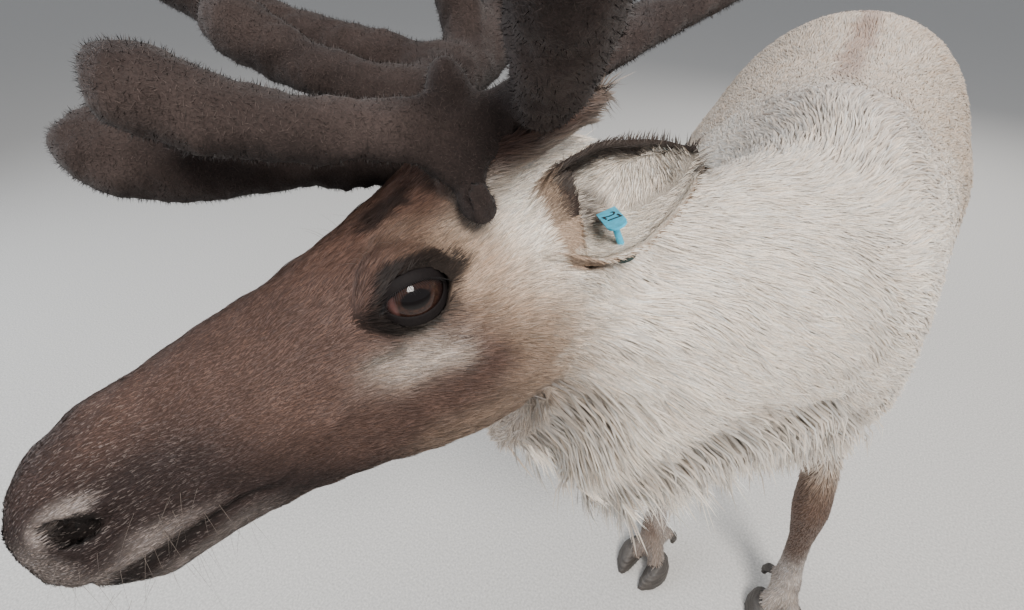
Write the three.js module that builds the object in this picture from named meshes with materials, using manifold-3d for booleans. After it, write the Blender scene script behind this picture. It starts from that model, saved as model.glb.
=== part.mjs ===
// A life-size reindeer that stands still, with its antlers in velvet and a tag in its left ear.
// Millimetres. x runs to the animal's left, y towards its rump and z up, from the ground under its withers.
import * as THREE from "three";
import { mergeVertices } from "three/addons/utils/BufferGeometryUtils.js";
import Module from "manifold-3d";

const wasm = await Module();
wasm.setup();

// Driving sizes of the animal.
const WITHERS_HEIGHT = 980;
const CROUP_HEIGHT = 996;
const BELLY_HEIGHT = 528;
const CHEST_FRONT = -262;
const BUTTOCK = 985;
const BELLY_HALF_WIDTH = 250;
const LEG_CUT_HEIGHT = 488;
const GAP = 0.3;

// Where the head is held: the point midway between the eyes, and its turn, nod and tilt in degrees.
const HEAD_PLACE = new THREE.Vector3(-222, -508, 912);
const HEAD_TURN = -22;
const HEAD_NOD = 15;
const HEAD_TILT = -18;

const EYE_RADIUS = 22;
const EYE_OUT = 52;
const EYE_UP = 6;

const LEFT = new THREE.Vector3(1, 0, 0);
const UP = new THREE.Vector3(0, 0, 1);

const point = (x, y, z) => new THREE.Vector3(x, y, z);
const radians = THREE.MathUtils.degToRad;

// A repeatable source of numbers from 0 to 1, for locks that differ a little from one another.
function seeded(seed) {
  let state = seed;
  return () => {
    state = (state * 1664525 + 1013904223) % 4294967296;
    return state / 4294967296;
  };
}

// A smooth function through the rows of a table: each row holds a place and its values.
function profile(rows) {
  const slopeAt = (i, column) => {
    if (i === 0 || i === rows.length - 1) return 0;
    const before = (rows[i][column] - rows[i - 1][column]) / (rows[i][0] - rows[i - 1][0]);
    const after = (rows[i + 1][column] - rows[i][column]) / (rows[i + 1][0] - rows[i][0]);
    return before * after <= 0 ? 0 : (2 * before * after) / (before + after);
  };
  return (place) => {
    let i = 0;
    while (i < rows.length - 2 && place > rows[i + 1][0]) i++;
    const span = rows[i + 1][0] - rows[i][0];
    const t = Math.min(1, Math.max(0, (place - rows[i][0]) / span));
    return rows[i].slice(1).map((start, k) => {
      const end = rows[i + 1][k + 1];
      const pull = (1 - t) * slopeAt(i, k + 1) - t * slopeAt(i + 1, k + 1);
      return start + (end - start) * t * t * (3 - 2 * t) + span * t * (1 - t) * pull;
    });
  };
}

// A section through the body: half width, reach over and under its centre, squareness, and how far
// the top and the bottom narrow.
function sectionPoint(centre, side, over, sizes, angle) {
  const [wide, above, below, square, narrowTop, narrowBottom] = sizes;
  const rounded = (v) => Math.sign(v) * Math.abs(v) ** (2 / square);
  const c = Math.cos(angle);
  const s = Math.sin(angle);
  const narrowed = 1 - (s > 0 ? narrowTop : narrowBottom) * Math.abs(s) ** 1.5;
  return centre
    .clone()
    .addScaledVector(side, wide * rounded(c) * narrowed)
    .addScaledVector(over, (s > 0 ? above : below) * rounded(s));
}

function sectionRing(centre, side, over, sizes, sides) {
  return Array.from({ length: sides }, (_, i) =>
    sectionPoint(centre, side, over, sizes, (i / sides) * 2 * Math.PI),
  );
}

// A closed solid from corners and triangles, turned so that its faces point out.
function solidOf(corners, triangles) {
  const make = (faces) =>
    new wasm.Manifold(
      new wasm.Mesh({
        numProp: 3,
        vertProperties: new Float32Array(corners.flatMap((p) => [p.x, p.y, p.z])),
        triVerts: new Uint32Array(faces.flat()),
      }),
    );
  const made = make(triangles);
  return made.volume() > 0 ? made : make(triangles.map(([a, b, c]) => [a, c, b]));
}

// A closed solid through rings of equal count, with a fan of triangles over each end.
function loft(rings) {
  const sides = rings[0].length;
  const corners = rings.flat();
  const triangles = [];
  for (let r = 0; r < rings.length - 1; r++) {
    for (let i = 0; i < sides; i++) {
      const a = r * sides + i;
      const b = r * sides + ((i + 1) % sides);
      triangles.push([a, b, a + sides], [b, b + sides, a + sides]);
    }
  }
  [0, rings.length - 1].forEach((r) => {
    const middle = corners.length;
    const sum = rings[r].reduce((total, p) => total.add(p), point(0, 0, 0));
    corners.push(sum.divideScalar(sides));
    for (let i = 0; i < sides; i++) {
      const a = r * sides + i;
      const b = r * sides + ((i + 1) % sides);
      triangles.push(r === 0 ? [b, a, middle] : [a, b, middle]);
    }
  });
  return solidOf(corners, triangles);
}

// The centre and the two directions of a section at a share of a path's length.
function frameOn(path, share, side) {
  const centre = path.getPointAt(share);
  const along = path.getTangentAt(share);
  const across = side.clone().addScaledVector(along, -side.dot(along)).normalize();
  const upward = new THREE.Vector3().crossVectors(along, across);
  return { centre, along, across, upward };
}

const smoothPath = (points) => new THREE.CatmullRomCurve3(points, false, "centripetal");

// A solid swept along a path, with section sizes from a table of shares of its length.
function sweep(points, side, rows, rings, sides) {
  const path = smoothPath(points);
  const sizes = profile(rows);
  return loft(
    Array.from({ length: rings + 1 }, (_, k) => {
      const share = k / rings;
      const { centre, across, upward } = frameOn(path, share, side);
      return sectionRing(centre, across, upward, sizes(share), sides);
    }),
  );
}

// A ball squeezed to three radii, turned and placed by a matrix.
function ball(radii, matrix, segments = 16) {
  const geometry = new THREE.SphereGeometry(1, segments, Math.round(segments * 0.7));
  geometry.scale(...radii).applyMatrix4(matrix);
  return solidFromGeometry(geometry);
}

function solidFromGeometry(geometry) {
  geometry.deleteAttribute("normal");
  geometry.deleteAttribute("uv");
  const merged = mergeVertices(geometry, 1e-4);
  const places = merged.getAttribute("position");
  const corners = Array.from({ length: places.count }, (_, i) =>
    new THREE.Vector3().fromBufferAttribute(places, i),
  );
  const triangles = [];
  for (let i = 0; i < merged.index.count; i += 3) {
    triangles.push([0, 1, 2].map((k) => merged.index.getX(i + k)));
  }
  return solidOf(corners, triangles);
}

const union = (solids) => solids.reduce((joined, solid) => joined.add(solid));

// Only the largest closed surface of a solid.
function largest(solid) {
  return solid.decompose().reduce((a, b) => (b.volume() > a.volume() ? b : a));
}

// The part of a solid on the side of a plane that its normal points to, short of it by half the gap.
function beyond(solid, through, normal) {
  const unit = normal.clone().normalize();
  return solid.trimByPlane(unit.toArray(), unit.dot(through) + GAP / 2);
}
const before = (solid, through, normal) => beyond(solid, through, normal.clone().negate());

const eased = (from, to, t) => from + (to - from) * t * t * (3 - 2 * t);

// Trunk: each row is its place along y, then the shift of its centre to the left, the heights of its
// top and bottom, half width, squareness, and how far the top and bottom narrow.
const TRUNK_ROWS = [
  [CHEST_FRONT, 10, 770, 690, 36, 2, 0.1, 0.1],
  [-240, 12, 830, 600, 84, 2, 0.15, 0.2],
  [-190, 16, 900, 545, 128, 2.1, 0.3, 0.3],
  [-110, 14, 950, 514, 162, 2.15, 0.4, 0.32],
  [-10, 8, WITHERS_HEIGHT, 504, 182, 2.2, 0.42, 0.3],
  [90, 4, 966, 510, 202, 2.2, 0.34, 0.25],
  [230, 0, 940, BELLY_HEIGHT, 230, 2.2, 0.22, 0.2],
  [380, 0, 936, 540, BELLY_HALF_WIDTH, 2.2, 0.16, 0.2],
  [520, 0, 956, 566, 248, 2.2, 0.16, 0.22],
  [660, 0, CROUP_HEIGHT, 606, 232, 2.2, 0.18, 0.25],
  [780, 0, 984, 640, 208, 2.2, 0.2, 0.25],
  [880, 0, 950, 680, 160, 2.1, 0.2, 0.2],
  [950, 0, 900, 730, 104, 2, 0.15, 0.1],
  [BUTTOCK, 0, 840, 780, 40, 2, 0.1, 0.1],
];
const TRUNK_RINGS = 24;
const TRUNK_SIDES = 22;

function makeTrunk() {
  const sizes = profile(TRUNK_ROWS);
  const rings = Array.from({ length: TRUNK_RINGS + 1 }, (_, k) => {
    const even = k / TRUNK_RINGS;
    const bunched = (1 - Math.cos(Math.PI * even)) / 2;
    const y = CHEST_FRONT + (BUTTOCK - CHEST_FRONT) * (0.45 * even + 0.55 * bunched);
    const [shift, top, bottom, wide, square, narrowTop, narrowBottom] = sizes(y);
    const middle = (top + bottom) / 2;
    const section = [wide, top - middle, middle - bottom, square, narrowTop, narrowBottom];
    return sectionRing(point(shift, y, middle), LEFT, UP, section, TRUNK_SIDES);
  });
  return loft(rings);
}

// The neck runs from inside the chest to the back of the head.
const NECK_POINTS = [
  point(0, -60, 750),
  point(-22, -170, 772),
  point(-70, -270, 812),
  point(-128, -356, 856),
  point(-192, -440, 862),
];
const NECK_ROWS = [
  [0, 156, 190, 200, 2.1, 0.35, 0.2],
  [0.25, 146, 178, 212, 2.1, 0.4, 0.3],
  [0.5, 124, 140, 210, 2.1, 0.4, 0.34],
  [0.75, 98, 86, 198, 2.1, 0.3, 0.32],
  [1, 74, 54, 172, 2, 0.2, 0.3],
];
const NECK_RINGS = 10;
const NECK_SIDES = 24;

// Locks of the throat mane, hung from the underside of the neck in rows.
const MANE_ROWS = [
  { angle: -90, count: 11, from: 0.22, to: 0.99, length: 84 },
  { angle: -66, count: 9, from: 0.22, to: 0.97, length: 72 },
  { angle: -114, count: 9, from: 0.22, to: 0.97, length: 72 },
  { angle: -42, count: 7, from: 0.3, to: 0.94, length: 56 },
  { angle: -138, count: 7, from: 0.3, to: 0.94, length: 56 },
];
const LOCK_WIDTH = 38;
const LOCK_THICKNESS = 11;
const LOCK_SINK = 20;
const LOCK_STEPS = 3;

// One flat, tapered lock that leaves its root along the lie of the coat and bends down.
function makeLock(root, lie, outward, length, width, twist) {
  const hang = point(0, 0, -1);
  const rings = [];
  const centre = root.clone().addScaledVector(outward, -LOCK_SINK);
  for (let k = 0; k <= LOCK_STEPS; k++) {
    const t = k / LOCK_STEPS;
    const heading = lie.clone().multiplyScalar(1 - 0.6 * t).addScaledVector(outward, 0.5 * (1 - t));
    heading.addScaledVector(hang, 0.35 + 0.9 * t).normalize();
    if (k > 0) centre.addScaledVector(heading, (length + LOCK_SINK) / LOCK_STEPS);
    const across = new THREE.Vector3().crossVectors(heading, outward).normalize();
    across.applyAxisAngle(heading, twist);
    const flat = new THREE.Vector3().crossVectors(across, heading).normalize();
    const taper = Math.max(0.05, Math.cos((t * Math.PI) / 2.05)) * (0.8 + 0.5 * t);
    const reach = (direction, size) => centre.clone().addScaledVector(direction, size * taper);
    rings.push([
      reach(across, width / 2),
      reach(flat, LOCK_THICKNESS / 2),
      reach(across, -width / 2),
      reach(flat, -LOCK_THICKNESS / 2),
    ]);
  }
  return loft(rings);
}

function makeNeck() {
  return sweep(NECK_POINTS, LEFT, NECK_ROWS, NECK_RINGS, NECK_SIDES);
}

function makeMane() {
  const path = smoothPath(NECK_POINTS);
  const sizes = profile(NECK_ROWS);
  const random = seeded(7);
  const locks = [];
  MANE_ROWS.forEach(({ angle, count, from, to, length }) => {
    for (let i = 0; i < count; i++) {
      const share = from + ((to - from) * (i + 0.2 + 0.6 * random())) / count;
      const turn = radians(angle + 10 * (random() - 0.5));
      const { centre, along, across, upward } = frameOn(path, share, LEFT);
      const root = sectionPoint(centre, across, upward, sizes(share), turn);
      const outward = root.clone().sub(centre).normalize();
      const throatShort = 1 - 0.5 * Math.max(0, share - 0.6);
      const long = length * throatShort * (0.8 + 0.4 * random());
      const broad = LOCK_WIDTH * (0.8 + 0.4 * random());
      locks.push(makeLock(root, along.clone().negate(), outward, long, broad, 0.5 * (random() - 0.5)));
    }
  });
  return union(locks);
}

// Limbs: a path of joints from inside the trunk to the foot, mirrored by the sign of x.
const FORELEG_ROWS = [
  [0, 50, 70, 90, 2, 0, 0],
  [0.14, 62, 84, 96, 2.1, 0.1, 0.1],
  [0.3, 48, 62, 70, 2.1, 0.1, 0.1],
  [0.42, 36, 42, 44, 2, 0.1, 0.1],
  [0.54, 29, 30, 33, 2, 0.1, 0.1],
  [0.61, 31, 33, 31, 2.2, 0.1, 0.1],
  [0.67, 27, 27, 28, 2.2, 0.1, 0.1],
  [0.75, 21, 21, 25, 2.1, 0, 0.1],
  [0.87, 22, 22, 28, 2.1, 0, 0.1],
  [0.92, 28, 27, 34, 2.1, 0, 0.1],
  [0.96, 29, 27, 28, 2.1, 0, 0],
  [1, 27, 20, 20, 2.1, 0, 0],
];
const HINDLEG_ROWS = [
  [0, 40, 90, 90, 2, 0, 0],
  [0.1, 66, 128, 130, 2.1, 0.1, 0.1],
  [0.24, 70, 122, 120, 2.1, 0.1, 0.1],
  [0.36, 54, 78, 82, 2.1, 0.1, 0.1],
  [0.47, 37, 48, 52, 2.1, 0.1, 0.1],
  [0.56, 28, 34, 42, 2.1, 0.1, 0.1],
  [0.63, 29, 32, 40, 2.2, 0.1, 0.1],
  [0.69, 25, 27, 32, 2.2, 0.1, 0.1],
  [0.77, 21, 23, 26, 2.1, 0, 0.1],
  [0.88, 22, 23, 28, 2.1, 0, 0.1],
  [0.93, 28, 27, 35, 2.1, 0, 0.1],
  [0.965, 29, 27, 28, 2.1, 0, 0],
  [1, 27, 20, 20, 2.1, 0, 0],
];
const LIMB_RINGS = 16;
const LIMB_SIDES = 12;

// Each limb: its name, its table, the joints from top to foot and the turn of its toes in degrees.
const LIMBS = [
  {
    name: "foreleg_left",
    rows: FORELEG_ROWS,
    joints: [
      point(96, -60, 800),
      point(120, -112, 690),
      point(142, -36, 560),
      point(180, -46, 330),
      point(212, -22, 118),
      point(220, -52, 44),
    ],
    toe: 10,
    side: 1,
  },
  {
    name: "foreleg_right",
    rows: FORELEG_ROWS,
    joints: [
      point(-80, -60, 800),
      point(-104, -112, 690),
      point(-118, -40, 560),
      point(-82, -66, 330),
      point(-44, -58, 118),
      point(-36, -90, 44),
    ],
    toe: -12,
    side: -1,
  },
  {
    name: "hindleg_left",
    rows: HINDLEG_ROWS,
    joints: [
      point(84, 760, 860),
      point(118, 690, 730),
      point(142, 650, 590),
      point(128, 800, 410),
      point(124, 772, 128),
      point(126, 738, 44),
    ],
    toe: 8,
    side: 1,
  },
  {
    name: "hindleg_right",
    rows: HINDLEG_ROWS,
    joints: [
      point(-84, 790, 860),
      point(-118, 740, 730),
      point(-142, 720, 590),
      point(-130, 880, 410),
      point(-128, 862, 128),
      point(-130, 828, 44),
    ],
    toe: -8,
    side: -1,
  },
];

function makeLimb({ rows, joints }) {
  return sweep(joints, LEFT, rows, LIMB_RINGS, LIMB_SIDES);
}

// A claw of a cloven foot stands on the ground: a wedge that is high at the heel, curved inwards at
// the toe and flat underneath.
const CLAW_LENGTH = 96;
const CLAW_HALF_WIDTH = 23;
const CLAW_HEIGHT = 46;
const CLAW_SPREAD = 12;
const CLAW_SIDES = 8;
const CLAW_RINGS = 5;
const TOE_REACH = 64;
const CLAW_SIZES = profile([
  [0, 0.55, 0.5],
  [0.15, 0.86, 0.86],
  [0.4, 1, 1],
  [0.7, 0.84, 0.74],
  [0.9, 0.52, 0.44],
  [1, 0.2, 0.2],
]);

function footFrame(limb) {
  const foot = limb.joints[limb.joints.length - 1];
  return new THREE.Matrix4()
    .makeTranslation(foot.x, foot.y, 0)
    .multiply(new THREE.Matrix4().makeRotationZ(radians(limb.toe)));
}

function makeClaw(limb, inner, grown) {
  const out = inner * CLAW_SPREAD * 2;
  const frame = footFrame(limb);
  const rings = [];
  for (let k = 0; k <= CLAW_RINGS; k++) {
    const t = k / CLAW_RINGS;
    const [wideShare, highShare] = CLAW_SIZES(t);
    const curl = inner * 8 * Math.sin(t * Math.PI);
    const wide = CLAW_HALF_WIDTH * wideShare + grown;
    const high = CLAW_HEIGHT * highShare + grown;
    const y = CLAW_LENGTH - TOE_REACH - CLAW_LENGTH * t + grown * (1 - 2 * t);
    rings.push(
      Array.from({ length: CLAW_SIDES }, (_, i) => {
        const angle = (Math.PI * i) / (CLAW_SIDES - 1);
        return point(out + curl + wide * Math.cos(angle), y, high * Math.sin(angle)).applyMatrix4(frame);
      }),
    );
  }
  return loft(rings);
}

// A dewclaw hangs behind the fetlock and ends clear of the ground.
const DEWCLAW_LENGTH = 46;
const DEWCLAW_RADIUS = 12;
const DEWCLAW_TOP = 74;

function makeDewclaw(limb, inner, grown) {
  const frame = footFrame(limb);
  const at = (x, y, z) => point(x, y, z).applyMatrix4(frame);
  const points = [
    at(inner * 17, 44, DEWCLAW_TOP),
    at(inner * 24, 60, DEWCLAW_TOP - DEWCLAW_LENGTH * 0.5),
    at(inner * 26, 58, DEWCLAW_TOP - DEWCLAW_LENGTH),
  ];
  const size = (share) => DEWCLAW_RADIUS * share + grown;
  const rows = [
    [0, size(0.7), size(0.7), size(0.7), 2, 0, 0],
    [0.4, size(1), size(0.9), size(0.9), 2, 0, 0],
    [1, size(0.35), size(0.3), size(0.3), 2, 0, 0],
  ];
  return sweep(points, LEFT, rows, 3, 6);
}

// Two short digits join a limb to its claws, and two pads to its dewclaws.
function makeDigits(limb) {
  const frame = footFrame(limb);
  const foot = limb.joints[limb.joints.length - 1];
  const local = (x, y, z) => point(x, y, z).applyMatrix4(frame);
  return [1, -1].flatMap((inner) => [
    sweep(
      [
        point(foot.x, foot.y + 10, foot.z + 40),
        local(inner * 18, 0, 50),
        local(inner * 24, -10, 24),
      ],
      LEFT,
      [
        [0, 20, 20, 20, 2, 0, 0],
        [1, 19, 24, 22, 2, 0, 0],
      ],
      3,
      8,
    ),
    ball([15, 17, 16], frame.clone().multiply(new THREE.Matrix4().makeTranslation(inner * 15, 36, 84)), 7),
  ]);
}

// The head is shaped facing along -y, with its origin midway between the eyes. Each row is a place
// ahead of the eyes, then the heights of top and bottom, half width, squareness and narrowing.
const HEAD_ROWS = [
  [-165, 44, -98, 64, 2, 0.2, 0.2],
  [-125, 56, -136, 74, 2.1, 0.2, 0.3],
  [-85, 62, -148, 76, 2.2, 0.15, 0.36],
  [-45, 58, -149, 75, 2.3, 0.12, 0.4],
  [-10, 52, -145, 72, 2.4, 0.12, 0.4],
  [25, 46, -135, 67, 2.4, 0.15, 0.4],
  [60, 41, -120, 59, 2.3, 0.22, 0.36],
  [98, 38, -106, 52, 2.2, 0.25, 0.32],
  [142, 35, -93, 48, 2.2, 0.22, 0.28],
  [180, 33, -86, 48, 2.3, 0.15, 0.28],
  [208, 27, -78, 47, 2.4, 0.12, 0.28],
  [228, 16, -62, 41, 2.3, 0.1, 0.2],
  [240, 2, -43, 28, 2.2, 0.1, 0.1],
  [245, -12, -28, 11, 2, 0, 0],
];
const HEAD_RINGS = 26;
const HEAD_SIDES = 22;
const HEAD_BACK = -165;
const HEAD_FRONT = 245;
const HEAD_CUT = -125;
const HEAD_CUT_SLANT = 0.5;

// Soft swellings and hollows of the head: a centre (ahead, out, up), its reach, and the push outwards
// and upwards at the centre.
const HEAD_FORMS = [
  { at: [2, 62, 26], reach: [34, 24, 20], push: [8, 4] },
  { at: [34, 52, -6], reach: [24, 22, 14], push: [-4, 0] },
  { at: [-40, 68, -20], reach: [42, 24, 26], push: [5, 0] },
  { at: [-58, 62, -100], reach: [46, 26, 36], push: [7, -3] },
  { at: [66, 46, -58], reach: [44, 26, 24], push: [-5, 0] },
  { at: [202, 36, -2], reach: [24, 22, 20], push: [6, 3] },
  { at: [170, 42, -24], reach: [20, 20, 18], push: [-3, 0] },
  { at: [200, 38, -39], reach: [34, 24, 12], push: [5, 0] },
  { at: [196, 28, -70], reach: [28, 22, 15], push: [4, -3] },
  { at: [-60, 0, 64], reach: [44, 30, 24], push: [0, 7] },
  { at: [110, 0, 38], reach: [60, 22, 16], push: [0, 2] },
];

const HEAD_MATRIX = new THREE.Matrix4()
  .makeTranslation(HEAD_PLACE.x, HEAD_PLACE.y, HEAD_PLACE.z)
  .multiply(
    new THREE.Matrix4().makeRotationFromEuler(
      new THREE.Euler(radians(HEAD_NOD), radians(HEAD_TILT), radians(HEAD_TURN), "ZXY"),
    ),
  );
const onHead = (out, ahead, up) => point(out, -ahead, up).applyMatrix4(HEAD_MATRIX);
const headDirection = (out, ahead, up) =>
  point(out, -ahead, up).transformDirection(HEAD_MATRIX);

function sculpted(p) {
  const moved = p.clone();
  HEAD_FORMS.forEach(({ at, reach, push }) => {
    const apart =
      ((-p.y - at[0]) / reach[0]) ** 2 +
      ((Math.abs(p.x) - at[1]) / reach[1]) ** 2 +
      ((p.z - at[2]) / reach[2]) ** 2;
    const share = Math.exp(-apart);
    moved.x += Math.sign(p.x) * push[0] * share;
    moved.z += push[1] * share;
  });
  return moved;
}

function makeHeadForm(grown = 0) {
  const sizes = profile(HEAD_ROWS);
  const rings = Array.from({ length: HEAD_RINGS + 1 }, (_, k) => {
    const even = k / HEAD_RINGS;
    const ahead = HEAD_BACK + (HEAD_FRONT - HEAD_BACK) * (0.65 * even + 0.35 * Math.sin((even * Math.PI) / 2));
    const [top, bottom, wide, square, narrowTop, narrowBottom] = sizes(ahead);
    const middle = (top + bottom) / 2;
    const above = top - middle + grown;
    const section = [wide + grown, above, middle - bottom + grown, square, narrowTop, narrowBottom];
    return sectionRing(point(0, -ahead, middle), LEFT, UP, section, HEAD_SIDES).map((p) =>
      sculpted(p).applyMatrix4(HEAD_MATRIX),
    );
  });
  return loft(rings);
}

const placedOnHead = (out, ahead, up, turns = [0, 0, 0]) =>
  HEAD_MATRIX.clone()
    .multiply(new THREE.Matrix4().makeTranslation(out, -ahead, up))
    .multiply(new THREE.Matrix4().makeRotationFromEuler(new THREE.Euler(...turns.map(radians))));

// Lids: a swelling round each eye, hollowed by the eyeball and opened by an almond.
const LID_RADII = [24, 36, 29];
const ALMOND_HALF_LENGTH = 21;
const ALMOND_HALF_HEIGHT = 13;
const ALMOND_TURN = -10;

function makeLid(side) {
  return ball(LID_RADII, placedOnHead(side * (EYE_OUT - 2), 0, EYE_UP), 14);
}

function makeEye(side, grown) {
  const radius = EYE_RADIUS + grown;
  return ball([radius, radius, radius], placedOnHead(side * EYE_OUT, 0, EYE_UP), 14);
}

function makeAlmond(side) {
  const outline = Array.from({ length: 14 }, (_, i) => {
    const angle = (i / 14) * 2 * Math.PI;
    const sharp = Math.sign(Math.sin(angle)) * Math.abs(Math.sin(angle)) ** 1.35;
    return [ALMOND_HALF_LENGTH * Math.cos(angle), ALMOND_HALF_HEIGHT * sharp];
  });
  const matrix = placedOnHead(0, 0, EYE_UP, [ALMOND_TURN, 0, 0]);
  const ringAt = (out, grow) =>
    outline.map(([y, z]) => point(side * out, y * grow, z * grow).applyMatrix4(matrix));
  return loft([ringAt(EYE_OUT + 6, 0.9), ringAt(EYE_OUT + 34, 1.35)]);
}

// The line of the mouth: a thin groove that follows the lips and dies out in the cheek.
const MOUTH_CORNER = 132;
const MOUTH_FRONT = 255;
const MOUTH_GAP = 2.4;
const MOUTH_DEPTH_SHARE = 0.84;

function makeMouthGroove() {
  const line = profile([
    [MOUTH_CORNER, -60],
    [160, -55],
    [195, -50],
    [228, -45],
    [MOUTH_FRONT, -38],
  ]);
  const sheet = loft(
    Array.from({ length: 10 }, (_, k) => {
      const ahead = MOUTH_CORNER + ((MOUTH_FRONT - MOUTH_CORNER) * k) / 9;
      const [height] = line(ahead);
      const half = (MOUTH_GAP / 2) * Math.min(1, 0.35 + k / 5);
      return [
        [60, half],
        [60, -half],
        [-60, -half],
        [-60, half],
      ].map(([x, z]) => point(x, -ahead, height + z).applyMatrix4(HEAD_MATRIX));
    }),
  );
  const core = loft(
    Array.from({ length: 9 }, (_, k) => {
      const ahead = MOUTH_CORNER - 20 + ((MOUTH_FRONT - 8 - MOUTH_CORNER) * k) / 8;
      const [top, bottom, wide, square, narrowTop, narrowBottom] = profile(HEAD_ROWS)(ahead);
      const middle = (top + bottom) / 2;
      const half = (top - middle) * MOUTH_DEPTH_SHARE;
      const section = [wide * MOUTH_DEPTH_SHARE, half, half, square, narrowTop, narrowBottom];
      return sectionRing(point(0, -ahead, middle), LEFT, UP, section, 12).map((p) =>
        p.applyMatrix4(HEAD_MATRIX),
      );
    }),
  );
  return sheet.subtract(core);
}

// A nostril is a slanting, comma-shaped hollow in the side of the muzzle.
function makeNostril(side) {
  const hole = ball([9, 13, 7], placedOnHead(side * 42, 205, -7, [-34, 0, side * 20]), 8);
  const slit = ball([7, 12, 3.4], placedOnHead(side * 46, 191, -14, [-12, 0, side * 6]), 8);
  return hole.add(slit);
}

// An ear is a leaf rolled into a cup that grows from the side of the head.
const EAR_LENGTH = 126;
const EAR_THICKNESS = 5;
const EAR_RINGS = 10;
const EAR_ARC_POINTS = 8;
const EAR_ROWS = profile([
  [0, 20, 150],
  [0.15, 26, 140],
  [0.35, 37, 106],
  [0.6, 39, 88],
  [0.85, 26, 78],
  [0.96, 13, 74],
  [1, 5, 72],
]);
const EARS = {
  left: { root: [50, -80, -8], heading: [0.42, -0.9, 0.03], open: [0.76, 0.48, 0.42] },
  right: { root: [-50, -80, -8], heading: [-0.6, -0.8, 0.12], open: [-0.66, 0.34, 0.6] },
};

function makeEar({ root, heading, open }) {
  const axis = headDirection(...heading).normalize();
  const mouth = headDirection(...open);
  mouth.addScaledVector(axis, -mouth.dot(axis)).normalize();
  const across = new THREE.Vector3().crossVectors(axis, mouth).normalize();
  const start = onHead(...[root[0], root[1], root[2]]);
  const sectionAt = (t) => {
    const [radius, halfArc] = EAR_ROWS(t);
    const centre = start
      .clone()
      .addScaledVector(axis, EAR_LENGTH * t)
      .addScaledVector(mouth, -10 * Math.sin(t * Math.PI) + 6 * t);
    return { centre, radius, halfArc };
  };
  const rings = Array.from({ length: EAR_RINGS + 1 }, (_, k) => {
    const t = k / EAR_RINGS;
    const { centre, radius, halfArc } = sectionAt(t);
    const arc = (distance, limit, sign) =>
      Array.from({ length: EAR_ARC_POINTS }, (_, i) => {
        const angle = radians(sign * limit * ((2 * i) / (EAR_ARC_POINTS - 1) - 1));
        return centre
          .clone()
          .addScaledVector(mouth, -distance * Math.cos(angle))
          .addScaledVector(across, distance * Math.sin(angle));
      });
    const filled = Math.max(0, 1 - t / 0.24);
    const inner = eased(radius - Math.min(EAR_THICKNESS, radius * 0.5), 1.5, filled);
    return [...arc(radius, halfArc, 1), ...arc(inner, halfArc - 6, -1)];
  });
  return { whole: loft(rings), axis, start, mouth, across, sectionAt };
}

// The room that the neck's coat leaves for an ear, so that its cup stays open.
const EAR_CLEARANCE = 4;

function makeEarRoom(ear) {
  return loft(
    Array.from({ length: 7 }, (_, k) => {
      const { centre, radius } = ear.sectionAt(0.06 + 0.98 * (k / 6));
      const size = radius + EAR_CLEARANCE;
      return sectionRing(centre, ear.across, ear.mouth, [size, size, size, 2, 0, 0], 12);
    }),
  );
}

// Antlers: each branch is a path of points in the body's frame, with radii along it and a blunt tip.
const ANTLER_SIDES = 10;
const TIP_START = 0.9;

function makeBranch({ points, radii, rings }, grown = 0) {
  const ends = points[points.length - 1].clone().sub(points[0]);
  const side = Math.abs(ends.x) > 0.7 * ends.length() ? UP : LEFT;
  const rows = radii.map((radius, i) => {
    const size = radius + grown;
    return [(TIP_START * i) / (radii.length - 1), size, size, size, 2, 0, 0];
  });
  const last = radii[radii.length - 1] + grown;
  rows.push([0.965, last * 0.74, last * 0.74, last * 0.74, 2, 0, 0]);
  rows.push([1, last * 0.25, last * 0.25, last * 0.25, 2, 0, 0]);
  return sweep(points, side, rows, rings, ANTLER_SIDES);
}

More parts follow.
